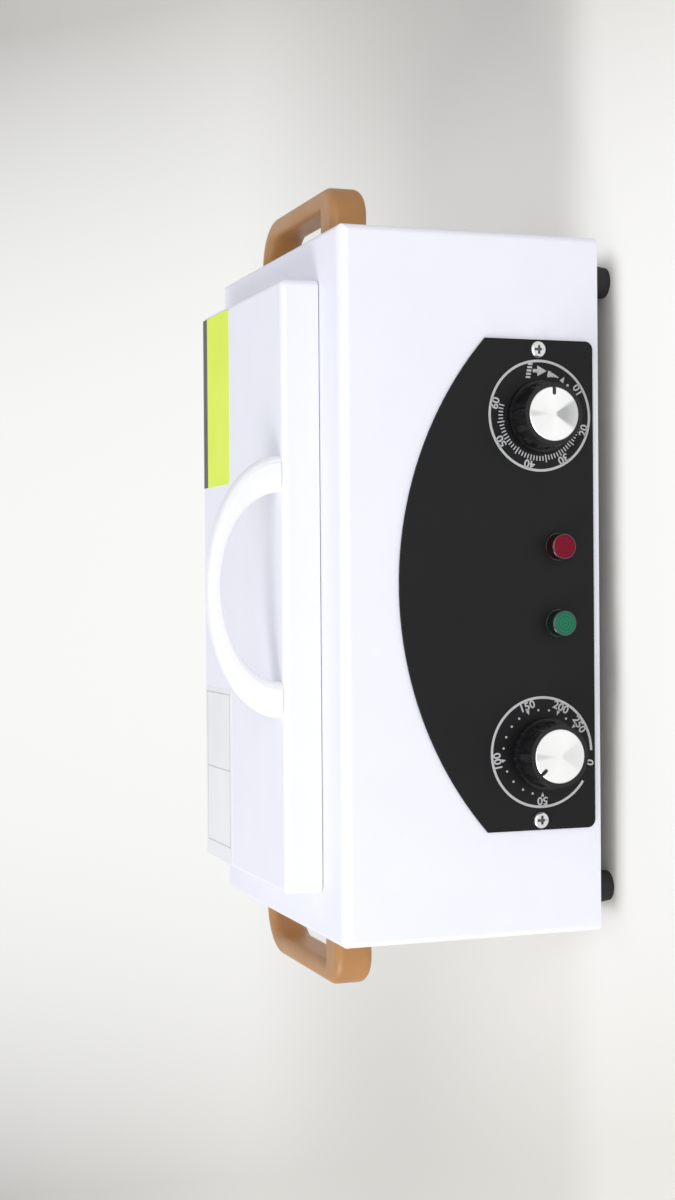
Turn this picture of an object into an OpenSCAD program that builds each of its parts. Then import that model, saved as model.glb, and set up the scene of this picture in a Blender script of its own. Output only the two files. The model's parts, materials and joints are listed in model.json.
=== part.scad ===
// Bench-top dry heat sterilizer with a hinged top lid.
// Millimetres. X is to the right, Y runs from the front to the rear, Z is up.
// The origin is at the middle of the footprint, on the surface that the feet stand on.

/* [Casing] */
// Width of the sheet-steel casing
casing_w = 345; // [335:1:380]
// Depth of the casing from front to rear
casing_d = 196; // [194:1:220]
// Height of the casing above its own bottom edge
casing_h = 136; // [134:1:155]
// Thickness of the casing's steel sheet
sheet_t = 1; // [0.8:0.1:1.2]
// Bend radius of the front top edge
front_bend_r = 5; // [3:0.5:7]
// Bend radius of the top edges at the sides
side_bend_r = 2.5; // [2:0.25:4]
// Radius of the upright corners at the front
corner_r = 3; // [2:0.25:5]
// Width of the inward flanges at the bottom and the rear
flange_w = 8.5; // [7.5:0.25:9]
// Thickness of the base pan
base_t = 1; // [0.8:0.1:1.5]
// Thickness of the rear panel
panel_t = 1; // [0.8:0.1:1.5]

/* [Feet] */
// Height of a rubber foot
foot_h = 10.5; // [8:0.5:14]
// Diameter of a foot where it meets the base pan
foot_d = 18; // [15:0.5:20]
// Diameter of a foot where it meets the bench
foot_end_d = 15; // [13:0.2:18]
// Distance from the casing's side to a foot's axis
foot_side_inset = 20; // [19.5:0.5:32]
// Distance from the front, or from the rear, to a foot's axis
foot_inset = 13.5; // [13.5:0.25:20]

/* [Control plate] */
// Distance from the casing's side to the control plate
plate_margin = 52; // [48:0.5:57]
// Height of the plate at its sides
plate_side_h = 58; // [52:1:64]
// Height of the plate at the crown of its arched top
plate_crown_h = 103.5; // [95:0.5:112]
// Distance from the casing's bottom edge up to the plate
plate_rise = 3.5; // [2.5:0.5:5]
// Thickness of the plate
plate_t = 1.2; // [0.8:0.1:2]
// Radius of the plate's two lower corners
plate_corner_r = 4; // [2:0.5:6]
// Distance from the plate's side to its screw
plate_screw_inset = 5; // [4.5:0.25:8]
// Height of the plate's screws above the knob axes
plate_screw_rise = 1.2; // [0:0.2:3]

/* [Knobs and lamps] */
// Distance from the plate's side to the nearer knob's axis
knob_inset = 37.8; // [35:0.1:42]
// Height of the knob axes above the casing's bottom edge
knob_rise = 32.5; // [30:0.5:34]
// Height of a knob, from its skirt to its rim
knob_h = 15; // [13:0.5:18]
// Diameter of a knob's skirt
skirt_d = 35; // [33:0.5:37]
// Thickness of a knob's skirt
skirt_t = 2.4; // [1.5:0.1:3.5]
// Diameter of a knob's grip next to the skirt
grip_d = 33; // [31.5:0.25:34]
// Diameter of a knob's grip at its rim
rim_d = 30.4; // [29:0.2:31.4]
// Number of finger flutes round a knob
flute_count = 14; // [8:1:18]
// Radius of a finger flute
flute_r = 2.6; // [2:0.1:3]
// Diameter of the metal cap in a knob
cap_d = 26; // [24:0.5:27.5]
// Thickness of the metal cap
cap_t = 1.2; // [0.8:0.1:1.6]
// Height of the metal cap above the knob's rim
cap_proud = 0.5; // [0.2:0.1:0.7]
// Gap between the plate and the temperature knob
temperature_knob_gap = 5; // [3:0.25:7]
// Gap between the plate and the timer knob
timer_knob_gap = 1; // [0.8:0.1:4]
// Angle of the temperature pointer, clockwise from the top
temperature_pointer = -41; // [-160:1:160]
// Angle of the timer pointer, clockwise from the top
timer_pointer = 90; // [0:1:359]
// Diameter of a control shaft
shaft_d = 6; // [5:0.25:6.35]
// Distance from the middle to each lamp's axis
lamp_x = 18.8; // [16:0.2:24]
// Height of the lamp axes above the casing's bottom edge
lamp_rise = 23.5; // [20:0.5:30]
// Diameter of a lamp lens
lens_d = 13; // [12.6:0.2:14]
// Length of a lamp lens in front of the plate
lens_len = 8.5; // [5:0.5:10]
// Diameter of a lamp's body behind the lens
lamp_body_d = 11; // [9:0.25:12]

/* [Lid] */
// Distance from the casing's side to the lid
lid_margin = 22.5; // [17:0.5:24.5]
// Distance from the lid's rear to the casing's rear
lid_rear_room = 21; // [20:0.5:26]
// Height of the lid
lid_h = 19; // [18:0.5:24]
// Distance from the casing's front to the lid
lid_setback = 30; // [28:0.5:31]
// Running gap between the lid and the casing's top
lid_gap = 0.4; // [0.3:0.05:0.6]
// Radius of the lid's top edges
lid_edge_r = 3; // [2:0.25:3.25]
// Radius of the lid's upright corners
lid_corner_r = 3.5; // [3.5:0.25:6]
// Height of the liner's underside above the lid's lower edge
liner_rise = 3.2; // [2.8:0.1:4]
// Thickness of the stainless liner
liner_t = 0.8; // [0.6:0.1:1]

/* [Lid handle] */
// Width of the handle's arch over its two feet
arch_w = 128.5; // [115:0.5:140]
// Height of the arch above the lid
arch_h = 37; // [32:0.5:42]
// Width of a foot of the arch
arch_foot_w = 18.2; // [15:0.2:22]
// Thickness of the arch at its crown
arch_crown_t = 7; // [5.5:0.25:9]
// Depth of the arch from front to rear
arch_d = 11; // [9:0.5:14]
// Distance from the lid's front to the arch
arch_setback = 1.2; // [0.6:0.1:4]

/* [Side handles] */
// Distance from a side handle to the casing's rear
grip_rear_room = 46; // [39:1:59]
// Distance from the casing's front to a side handle
grip_setback = 32; // [28:1:36]
// Reach of a side handle from the casing's side
grip_reach = 26; // [24:0.5:32]
// Thickness of a side handle's bar, seen from above
grip_bar = 10; // [9:0.5:12]
// Height of a side handle's bar
grip_bar_h = 19.5; // [16:0.5:22]
// Rounding of the bar's edges
grip_edge_r = 4.4; // [2:0.2:4.4]
// Thickness of a side handle's front leg, seen from above
grip_leg_w = 20; // [18:0.5:24]
// Distance from the casing's top down to the side handle
grip_drop = 7.5; // [5:0.5:12]
// Outer radius of the handle's front bend
grip_front_r = 15; // [13:0.5:18]
// Outer radius of the handle's rear bend
grip_rear_r = 25; // [20:0.5:25.5]

/* [Chamber] */
// Distance from the lid's sides to the tank's side walls, inside
tank_side_inset = 19; // [18:0.5:25]
// Distance from the lid's front and rear to the tank's walls, inside
tank_end_inset = 18.5; // [18:0.25:22.5]
// Inside height of the tank
tank_h = 68; // [60:1:70]
// Thickness of the tank's stainless sheet
tank_t = 0.8; // [0.6:0.1:1]
// Radius of the tank's upright corners, inside
tank_corner_r = 18; // [14:1:24]
// Radius of the tank's bottom edge, inside
tank_bottom_r = 8; // [6:0.5:10]
// Width of the tank's flange
tank_flange = 9; // [7:0.5:9.5]
// Width of the lid's seal ring
seal_w = 6; // [4:0.5:6.5]
// Gap between the seal and the tank's flange with the lid shut
seal_gap = 0.3; // [0.2:0.05:0.4]
// Thickness of the wool round the tank
wool_t = 10; // [9.8:0.2:11]
// Thickness of the jacket round the wool
jacket_t = 0.6; // [0.5:0.1:0.8]
// Width of the jacket's top flange
jacket_flange = 7; // [5:0.5:8]

/* [Tray] */
// Height of the tray's side walls
tray_h = 20; // [15:1:28]
// Gap between the tray and the tank's wall
tray_gap = 4; // [3:0.5:6]
// Thickness of the tray's sheet
tray_t = 0.8; // [0.6:0.1:1]
// Height of the tray's pressed feet
tray_foot_h = 4; // [3:0.5:6]
// Diameter of a hole in the tray's floor
tray_hole_d = 6; // [4:0.5:7]
// Spacing of the holes in the tray's floor
tray_pitch = 15; // [13:0.5:20]
// Width of the tray's rolled rim
tray_rim = 2; // [1.5:0.25:2.5]

/* [Heater] */
// Diameter of the tubular heating element
element_d = 6.5; // [6:0.25:8]
// Distance from the tank's front and rear walls to the outer runs of the element
element_side_room = 18; // [16:0.5:24]
// Distance from the tank's side walls to the ends of the element's runs
element_end_room = 36; // [33:1:50]
// Thickness of the wool under the element
floor_wool_t = 11; // [9:0.5:11.5]

/* [Hinges] */
// Distance from the lid's side to the middle of a hinge
hinge_inset = 55; // [35:1:80]
// Width of a hinge leaf
leaf_w = 34; // [30:0.5:40]
// Thickness of a hinge leaf
leaf_t = 1; // [0.8:0.1:1.2]
// Outer diameter of a hinge knuckle
knuckle_d = 6; // [5.5:0.25:6.5]
// Diameter of a hinge pin
pin_d = 3; // [2.5:0.1:3.2]
// Gap between a hinge's knuckle and the sheet beside it
knuckle_gap = 0.4; // [0.3:0.05:0.6]
// Depth of the hinge's base leaf behind the pin
base_leaf_len = 13.5; // [12:0.5:14]
// Height of the hinge's flap above the pin
flap_len = 12; // [11:0.5:13]
// Diameter of a rivet
rivet_d = 3.2; // [2.4:0.1:3.2]

/* [Hardware] */
// Diameter of the machine screws
screw_d = 4; // [3:0.1:4]
// Diameter of a pan head
head_d = 8; // [7:0.25:8.5]
// Height of a pan head
head_h = 2.4; // [1.8:0.1:2.6]
// Radial gap of a screw in its hole
screw_gap = 0.1; // [0.05:0.01:0.15]
// Radial gap of a turning shaft or pin in its hole
running_gap = 0.05; // [0.03:0.01:0.08]
// Gap between pieces that are only put together
fit_gap = 0.2; // [0.1:0.05:0.3]

/* [Rear side] */
// Width of a vent slot
vent_w = 3; // [2:0.25:3.5]
// Length of a vent slot
vent_len = 26; // [18:1:30]
// Spacing of the vent slots
vent_pitch = 8; // [7:0.5:10]
// Number of vent slots in a group
vent_count = 7; // [4:1:8]
// Distance from the casing's side to the middle of the power inlet
inlet_inset = 54.5; // [47.5:0.5:72.5]
// Height of the power inlet above the casing's bottom edge
inlet_rise = 26; // [24:1:30]
// Width of the power inlet's flange
inlet_w = 50; // [48:0.5:52]
// Height of the power inlet's flange
inlet_h = 26; // [25:0.5:28]
// Thickness of the power inlet's flange
inlet_t = 3; // [2.5:0.25:4]
// Depth of the power inlet's body inside the casing
inlet_body_len = 20; // [18:1:22]

/* [Hidden] */
$fn = 64;

// How far a cut runs past the faces that it opens
over = 1;
sides = [-1, 1];

// Reach of the foremost and rearmost pieces, which centre the object on the origin
front_reach = plate_t + temperature_knob_gap + knob_h + cap_proud;
rear_reach = panel_t + inlet_t;
front_y = (front_reach - rear_reach - casing_d) / 2;
rear_y = front_y + casing_d;
bottom_z = foot_h;
top_z = bottom_z + casing_h;
casing_in_x = casing_w / 2 - sheet_t;
foot_x = casing_w / 2 - foot_side_inset;
plate_w = casing_w - 2 * plate_margin;
plate_screw_x = plate_w / 2 - plate_screw_inset;
plate_screw_z = bottom_z + knob_rise + plate_screw_rise;
knob_x = plate_w / 2 - knob_inset;
inlet_x = casing_w / 2 - inlet_inset;
grip_len = casing_d - grip_setback - grip_rear_room;
front_in_y = front_y + sheet_t;
plate_y = front_y - plate_t;
pan_top_z = bottom_z + base_t;
knob_z = bottom_z + knob_rise;
lamp_z = bottom_z + lamp_rise;

// Lid and tank share one middle plane
lid_w = casing_w - 2 * lid_margin;
lid_d = casing_d - lid_setback - lid_rear_room;
tank_w = lid_w - 2 * tank_side_inset;
tank_d = lid_d - 2 * tank_end_inset;
lid_front_y = front_y + lid_setback;
lid_rear_y = lid_front_y + lid_d;
lid_y = (lid_front_y + lid_rear_y) / 2;
lid_z = top_z + lid_gap;
lid_top_z = lid_z + lid_h;
tank_out_w = tank_w + 2 * tank_t;
tank_out_d = tank_d + 2 * tank_t;
flange_out_w = tank_out_w + 2 * tank_flange;
flange_out_d = tank_out_d + 2 * tank_flange;
tank_top_z = top_z + tank_t;
tank_floor_z = tank_top_z - tank_h;
tank_under_z = tank_floor_z - tank_t;
opening_gap = 1;

// Jacket and wool hang round the tank
jacket_w = tank_out_w + 2 * wool_t + 2 * jacket_t;
jacket_d = tank_out_d + 2 * wool_t + 2 * jacket_t;
element_run = tank_w - 2 * element_end_room;
element_pitch = (tank_d - 2 * element_side_room) / 3;
element_z = tank_under_z - element_d / 2 - fit_gap;
strap_t = 0.8;
strap_z = element_z - element_d / 2 - fit_gap;
pocket_floor_z = strap_z - strap_t - fit_gap;
wool_floor_z = pocket_floor_z - floor_wool_t;
jacket_floor_z = wool_floor_z - jacket_t;
jacket_corner_r = 6;

// Hinge axis
hinge_x = lid_w / 2 - hinge_inset;
hinge_y = lid_rear_y + knuckle_d / 2 + knuckle_gap;
hinge_z = top_z + knuckle_d / 2 + knuckle_gap;
side_knuckle_w = 8;
knuckle_side_gap = 0.3;
mid_knuckle_w = leaf_w - 2 * side_knuckle_w - 2 * knuckle_side_gap;
rivet_x = leaf_w / 2 - 6;
rivet_head_d = rivet_d * 1.9;
rivet_head_h = 1;
base_rivet_y = hinge_y + base_leaf_len - 5;
flap_rivet_z = hinge_z + flap_len - 4;
base_web_len = base_rivet_y - hinge_y - rivet_head_d / 2 - fit_gap;
flap_web_len = flap_rivet_z - hinge_z - rivet_head_d / 2 - fit_gap;

// Fasteners
screw_r = screw_d / 2;
hole_r = screw_r + screw_gap;
recess_w = head_d * 0.17;
recess_len = head_d * 0.62;
flange_mid = sheet_t + (flange_w - sheet_t) / 2;
rear_screw_x = casing_w / 2 - flange_mid;
rear_screw_z = [bottom_z + base_t + flange_mid, bottom_z + casing_h / 2, top_z - flange_mid];
rear_screw_len = 6;
base_screw_side_y = [front_y + casing_d * 0.3, front_y + casing_d * 0.7];
base_screw_end_x = casing_w * 0.22;
base_screw_len = 6;
handle_screw_len = 9;

// Controls behind the plate
collar_r = shaft_d / 2 + 1.9;
stud_r = 2;
stud_pitch = 28;
control_plate_w = stud_pitch + 12;
control_plate_h = 18;
control_plate_t = 1.2;
nut_af = 7;
nut_t = 3;
body_gap = 1;
stud_len = control_plate_t + nut_t + body_gap - fit_gap;
control_body_w = 36;
control_body_h = 40;
control_body_len = 22;
diaphragm_d = 26;
diaphragm_t = 5;
timer_d = 44;
timer_len = 26;
shaft_in = 14;
flat_cut = 1;

// Temperature bulb, upright against the tank's front wall, and its capillary tube
bulb_d = 5;
bulb_len = 50;
capillary_d = 2;
bend_r = 6;
bulb_z = tank_floor_z + tank_bottom_r;
bulb_y = lid_y - tank_out_d / 2 - bulb_d / 2 - fit_gap;
capillary_end_y = front_in_y + control_plate_t + control_body_len + diaphragm_t;
capillary_seat = 1;
channel_gap = 0.6;

// Thermal cut-out on the tank's front wall
cutout_d = 16;
cutout_x = 70;
cutout_z = tank_floor_z + tank_h / 2;
cutout_len = wool_t - 1.5;

function hex_r(flats) = flats / sqrt(3);

// Flat outline with four equal round corners, centred
module rounded_rect(w, d, r) {
  square([w - 2 * r, d], center = true);
  square([w, d - 2 * r], center = true);
  for (sx = sides)
    for (sy = sides)
      translate([sx * (w / 2 - r), sy * (d / 2 - r)])
        circle(r);
}

// Slab with round upright corners, standing on z = 0
module rounded_slab(w, d, h, r) {
  linear_extrude(h)
    rounded_rect(w, d, r);
}

// Cross-section of a pan: open side up, round lower corners
module pan_section(w, h, r) {
  translate([-w / 2, r])
    square([w, h - r]);
  translate([-w / 2 + r, 0])
    square([w - 2 * r, h]);
  for (s = sides)
    translate([s * (w / 2 - r), r])
      circle(r);
}

// Half section of a pan's corner, to be turned about its upright axis
module pan_corner_section(corner, h, r) {
  translate([0, r])
    square([corner, h - r]);
  square([corner - r, h]);
  translate([corner - r, r])
    intersection() {
      circle(r);
      translate([0, -r])
        square([r, 2 * r]);
    }
}

// Solid pan with round upright corners and a round bottom edge
module pan_solid(w, d, h, corner, r) {
  rotate([90, 0, 90])
    linear_extrude(w - 2 * corner, center = true)
      pan_section(d, h, r);
  rotate([90, 0, 0])
    linear_extrude(d - 2 * corner, center = true)
      pan_section(w, h, r);
  for (sx = sides)
    for (sy = sides)
      translate([sx * (w / 2 - corner), sy * (d / 2 - corner), 0])
        rotate_extrude()
          pan_corner_section(corner, h, r);
}

// Points a shape's +Z towards the front of the object
module facing_front(x, y, z) {
  translate([x, y, z])
    rotate([90, 0, 0])
      children();
}

// Points a shape's +Z towards the rear of the object
module facing_rear(x, y, z) {
  translate([x, y, z])
    rotate([-90, 0, 0])
      children();
}

// Pan-head screw with a cross recess: head above z = 0, shank below
module pan_screw(len) {
  difference() {
    rotate_extrude()
      intersection() {
        union() {
          square([head_d / 2 - head_h / 2, head_h]);
          square([head_d / 2, head_h / 2]);
          translate([head_d / 2 - head_h / 2, head_h / 2])
            circle(head_h / 2);
        }
        square([head_d / 2, head_h]);
      }
    translate([0, 0, head_h])
      cube([recess_len, recess_w, head_h], center = true);
    translate([0, 0, head_h])
      cube([recess_w, recess_len, head_h], center = true);
  }
  translate([0, 0, -len])
    cylinder(h = len + head_h / 4, r = screw_r);
}

// Hexagon nut standing on z = 0
module hex_nut(flats, t, bore_r) {
  difference() {
    cylinder(h = t, r = hex_r(flats), $fn = 6);
    translate([0, 0, -over])
      cylinder(h = t + 2 * over, r = bore_r);
  }
}

// Blind rivet: head above z = 0, shank down through the grip, tail below it
module rivet(grip) {
  cylinder(h = rivet_head_h, r1 = rivet_head_d / 2, r2 = rivet_head_d / 2 - rivet_head_h * 0.6);
  translate([0, 0, -grip])
    cylinder(h = grip, r = rivet_d / 2);
  translate([0, 0, -grip - rivet_head_h])
    cylinder(h = rivet_head_h, r = rivet_tail_r);
}

// Outer form of the casing, moved inwards by inset on its front, sides and top
module casing_form(inset) {
  half_w = casing_w / 2 - inset;
  y0 = front_y + inset;
  z1 = top_z - inset;
  front_r = front_bend_r - inset;
  side_r = side_bend_r - inset;
  plan_r = corner_r - inset;
  intersection() {
    translate([-half_w, 0, 0])
      rotate([90, 0, 90])
        linear_extrude(2 * half_w)
          union() {
            translate([y0, bottom_z])
              square([rear_y - y0, z1 - bottom_z - front_r]);
            translate([y0 + front_r, bottom_z])
              square([rear_y - y0 - front_r, z1 - bottom_z]);
            translate([y0 + front_r, z1 - front_r])
              circle(front_r);
          }
    translate([0, rear_y, 0])
      rotate([90, 0, 0])
        linear_extrude(rear_y - y0)
          union() {
            translate([-half_w, bottom_z])
              square([2 * half_w, z1 - bottom_z - side_r]);
            translate([-half_w + side_r, bottom_z])
              square([2 * (half_w - side_r), z1 - bottom_z]);
            for (s = sides)
              translate([s * (half_w - side_r), z1 - side_r])
                circle(side_r);
          }
    translate([0, 0, bottom_z])
      linear_extrude(z1 - bottom_z)
        casing_plan(half_w, y0, plan_r);
  }
}

// Plan of the casing with its two front corners rounded
module casing_plan(half_w, y0, r) {
  translate([-half_w, y0 + r])
    square([2 * half_w, rear_y - y0 - r]);
  translate([-half_w + r, y0])
    square([2 * (half_w - r), rear_y - y0]);
  for (s = sides)
    translate([s * (half_w - r), y0 + r])
      circle(r);
}

// Room inside the casing above its bottom flange and in front of its rear flange
module casing_room() {
  intersection() {
    casing_form(sheet_t);
    translate([-casing_w / 2, front_y, pan_top_z + sheet_t])
      cube([casing_w, casing_d - sheet_t, casing_h]);
  }
}

// Places of the screws that hold the base pan, on the bottom flange
module base_screw_places() {
  for (s = sides) {
    for (y = base_screw_side_y)
      translate([s * (casing_w / 2 - flange_mid), y, bottom_z])
        children();
    translate([s * base_screw_end_x, rear_y - flange_mid, bottom_z])
      children();
  }
}

// Places of the screws that hold the rear panel, facing the rear
module rear_screw_places() {
  for (s = sides)
    for (z = rear_screw_z)
      facing_rear(s * rear_screw_x, rear_y + panel_t, z)
        children();
}

// Depths of a side handle's two screws, behind the casing's front
function grip_screw_y() = [
  front_y + grip_setback + grip_bar / 2,
  front_y + grip_setback + grip_len - grip_bar / 2 - 1.5
];
grip_z = top_z - grip_drop - grip_bar_h / 2;

// Places of the side handle's screws, on the casing's inner face, heads inwards
module grip_screw_places(side) {
  for (y = grip_screw_y())
    translate([side * casing_in_x, y, grip_z])
      rotate([0, -side * 90, 0])
        children();
}

// Folded and welded sheet casing with its top opening
module outer_casing() {
  color("whitesmoke")
    difference() {
      union() {
        difference() {
          casing_form(0);
          casing_room();
          translate([0, 0, bottom_z - over])
            linear_extrude(base_t + over)
              intersection() {
                casing_plan(casing_in_x, front_in_y, corner_r - sheet_t);
                translate([-casing_w / 2, front_y])
                  square([casing_w, casing_d - sheet_t]);
              }
          translate([-casing_w / 2 + flange_w, front_y + flange_w, bottom_z - over])
            cube([casing_w - 2 * flange_w, casing_d - 2 * flange_w, base_t + sheet_t + 2 * over]);
          translate([-casing_w / 2 + flange_w, rear_y - sheet_t - over, pan_top_z + flange_w])
            cube([casing_w - 2 * flange_w, sheet_t + 2 * over, casing_h - base_t - 2 * flange_w]);
          translate([0, lid_y, top_z - sheet_t - over])
            rounded_slab(tank_out_w + 2 * opening_gap, tank_out_d + 2 * opening_gap,
              sheet_t + 2 * over, tank_corner_r + tank_t + opening_gap);
        }
        for (s = sides)
          for (t = sides)
            facing_rear(s * knob_x + t * stud_pitch / 2, front_in_y - sheet_t / 2, knob_z)
              cylinder(h = stud_len + sheet_t / 2, r = stud_r);
      }
      for (s = sides) {
        facing_front(s * knob_x, front_in_y + over, knob_z)
          cylinder(h = sheet_t + 2 * over, r = collar_r + fit_gap);
        facing_front(s * lamp_x, front_in_y + over, lamp_z)
          cylinder(h = sheet_t + 2 * over, r = lamp_body_d / 2 + fit_gap);
        facing_front(s * plate_screw_x, front_in_y + over, plate_screw_z)
          cylinder(h = sheet_t + 2 * over, r = hole_r);
        grip_screw_places(s)
          translate([0, 0, -sheet_t - over])
            cylinder(h = sheet_t + 2 * over, r = hole_r);
        for (t = sides)
          translate([s * hinge_x + t * rivet_x, base_rivet_y, top_z - sheet_t - over])
            cylinder(h = sheet_t + 2 * over, r = rivet_d / 2 + screw_gap);
      }
      base_screw_places()
        translate([0, 0, base_t - over])
          cylinder(h = sheet_t + 2 * over, r = hole_r);
      rear_screw_places()
        translate([0, 0, -panel_t - sheet_t - over])
          cylinder(h = sheet_t + 2 * over, r = hole_r);
    }
}

// Places of the four feet, under the base pan
function foot_place(sx, sy) = [sx * foot_x, sy < 0 ? front_y + foot_inset : rear_y - foot_inset];
vent_room = (vent_count - 1) * vent_pitch;

// Row of vent slots with round ends, centred
module vent_group() {
  for (i = [0 : vent_count - 1])
    translate([i * vent_pitch - vent_room / 2, 0]) {
      square([vent_w, vent_len - vent_w], center = true);
      for (s = sides)
        translate([0, s * (vent_len - vent_w) / 2])
          circle(vent_w / 2);
    }
}

// Flat base pan with vents, seated in the casing's bottom
module base_pan() {
  color("silver")
    difference() {
      translate([0, 0, bottom_z])
        linear_extrude(base_t)
          difference() {
            intersection() {
              casing_plan(casing_in_x - fit_gap, front_in_y + fit_gap, corner_r - sheet_t);
              translate([-casing_w / 2, front_y])
                square([casing_w, casing_d - sheet_t - fit_gap]);
            }
            for (sx = sides)
              for (sy = sides)
                translate(foot_place(sx, sy))
                  circle(hole_r);
            for (s = sides)
              translate([s * casing_w / 5, (front_y + rear_y) / 2])
                vent_group();
            translate(block_place())
              circle(hole_r);
          }
      base_screw_places()
        translate([0, 0, -over])
          cylinder(h = base_t + 2 * over, r = hole_r);
    }
}

// Rear panel with two groups of vents and the power inlet's cut-out
module rear_panel() {
  margin = 2;
  color("whitesmoke")
    difference() {
      facing_rear(0, rear_y, 0)
        linear_extrude(panel_t)
          difference() {
            translate([0, -(bottom_z + top_z) / 2])
              rounded_rect(casing_w - 2 * margin, casing_h - 2 * margin, corner_r);
            for (s = sides)
              translate([s * casing_w / 5, -(bottom_z + casing_h * 0.66)])
                vent_group();
            translate([inlet_x, -inlet_z])
              rounded_rect(inlet_cut_w, inlet_cut_h, 2);
            for (s = sides)
              translate([inlet_x + s * inlet_screw_pitch / 2, -inlet_z])
                circle(inlet_screw_r + screw_gap);
          }
      rear_screw_places()
        translate([0, 0, -panel_t - over])
          cylinder(h = panel_t + 2 * over, r = hole_r);
    }
}

module rear_panel_screws() {
  color("silver")
    rear_screw_places()
      pan_screw(rear_screw_len);
}

module base_pan_screws() {
  color("silver")
    base_screw_places()
      mirror([0, 0, 1])
        pan_screw(base_screw_len);
}

// Radius of the plate's arched top, from its width and the rise of its crown
plate_sag = plate_crown_h - plate_side_h;
plate_arc_r = (plate_w * plate_w / 4 + plate_sag * plate_sag) / (2 * plate_sag);

// Outline of the control plate, its lower edge on y = 0
module plate_outline() {
  intersection() {
    union() {
      translate([-plate_w / 2, plate_corner_r])
        square([plate_w, plate_crown_h]);
      translate([-plate_w / 2 + plate_corner_r, 0])
        square([plate_w - 2 * plate_corner_r, plate_crown_h]);
      for (s = sides)
        translate([s * (plate_w / 2 - plate_corner_r), plate_corner_r])
          circle(plate_corner_r);
    }
    translate([0, plate_crown_h - plate_arc_r])
      circle(plate_arc_r, $fn = 180);
  }
}

module control_plate() {
  color([0.15, 0.15, 0.16])
    difference() {
      facing_front(0, front_y, bottom_z + plate_rise)
        linear_extrude(plate_t)
          plate_outline();
      for (s = sides) {
        facing_front(s * knob_x, front_y + over, knob_z)
          cylinder(h = plate_t + 2 * over, r = collar_r + fit_gap);
        facing_front(s * lamp_x, front_y + over, lamp_z)
          cylinder(h = plate_t + 2 * over, r = lamp_body_d / 2 + fit_gap);
        facing_front(s * plate_screw_x, front_y + over, plate_screw_z)
          cylinder(h = plate_t + 2 * over, r = hole_r);
      }
    }
}

module control_plate_screws() {
  color("silver")
    for (s = sides)
      facing_front(s * plate_screw_x, plate_y, plate_screw_z)
        pan_screw(plate_t + sheet_t + 4);
}

// Mounting plate on two studs, with the collar that carries the shaft
module control_mount() {
  difference() {
    union() {
      translate([0, 0, -control_plate_t])
        linear_extrude(control_plate_t)
          rounded_rect(control_plate_w, control_plate_h, 4);
      translate([0, 0, -control_plate_t / 2])
        cylinder(h = control_plate_t / 2 + sheet_t + plate_t - fit_gap, r = collar_r);
    }
    for (s = sides)
      translate([s * stud_pitch / 2, 0, -control_plate_t - over])
        cylinder(h = control_plate_t + 2 * over, r = stud_r + screw_gap);
  }
}

// Blind bore for a control's shaft
module shaft_bore() {
  translate([0, 0, -shaft_in])
    cylinder(h = shaft_in + sheet_t + plate_t + over, r = shaft_d / 2 + running_gap);
}

// Capillary temperature control: moulded case, diaphragm and terminals
module temperature_control() {
  tab = [6, 0.8, 8];
  neck_w = stud_pitch - nut_af - 3;
  color("dimgray")
    difference() {
      facing_front(-knob_x, front_in_y, knob_z)
        difference() {
          union() {
            control_mount();
            translate([0, 0, -control_plate_t - nut_t - 2])
              linear_extrude(nut_t + 2 + control_plate_t / 2)
                rounded_rect(neck_w, control_plate_h, 2);
            translate([0, 0, -control_plate_t - control_body_len])
              linear_extrude(control_body_len - nut_t - body_gap)
                rounded_rect(control_body_w, control_body_h, 3);
            translate([0, 0, -control_plate_t - control_body_len - diaphragm_t])
              cylinder(h = diaphragm_t + 1, r = diaphragm_d / 2);
            for (s = sides)
              translate([s * control_body_w / 4, -control_body_h / 2 - tab[2] / 2 + 1,
                -control_plate_t - control_body_len + 5])
                cube([tab[0], tab[2], tab[1]], center = true);
          }
          shaft_bore();
        }
      facing_rear(-knob_x, capillary_end_y - capillary_seat, knob_z)
        cylinder(h = capillary_seat + over, r = capillary_d / 2 + fit_gap / 2);
    }
}

// Sensing bulb and capillary tube, moved outwards by grow for its channel in the wool
module bulb_form(grow) {
  tube_r = capillary_d / 2 + grow;
  corner_y = bulb_y - bend_r;
  translate([-knob_x, bulb_y, bulb_z])
    cylinder(h = bulb_len, r = bulb_d / 2 + grow);
  translate([-knob_x, bulb_y, knob_z + bend_r])
    cylinder(h = bulb_z - knob_z - bend_r + 1, r = tube_r);
  translate([-knob_x, corner_y, knob_z + bend_r])
    rotate([90, 0, 90])
      rotate([0, 0, -90])
        rotate_extrude(angle = 90)
          translate([bend_r, 0])
            circle(tube_r);
  translate([-knob_x, corner_y, knob_z])
    rotate([90, 0, 0])
      cylinder(h = corner_y - capillary_end_y + capillary_seat - fit_gap, r = tube_r);
}

module temperature_bulb() {
  color("peru")
    bulb_form(0);
}

// Clockwork timer: drum case on its mounting plate, with two terminals
module timer_unit() {
  tab = [6, 8, 0.8];
  neck_w = stud_pitch - nut_af - 3;
  color("gainsboro")
    facing_front(knob_x, front_in_y, knob_z)
      difference() {
        union() {
          control_mount();
          translate([0, 0, -control_plate_t - nut_t - 2])
            linear_extrude(nut_t + 2 + control_plate_t / 2)
              rounded_rect(neck_w, control_plate_h, 2);
          translate([0, 0, -control_plate_t - timer_len])
            cylinder(h = timer_len - nut_t - body_gap, r = timer_d / 2);
          translate([0, 0, -control_plate_t - timer_len - 3])
            cylinder(h = 3 + 1, r = timer_d / 2 - 5);
          for (s = sides)
            translate([s * 9, -timer_d / 2 - 2, -control_plate_t - timer_len + 4])
              cube(tab, center = true);
        }
        shaft_bore();
      }
}

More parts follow.
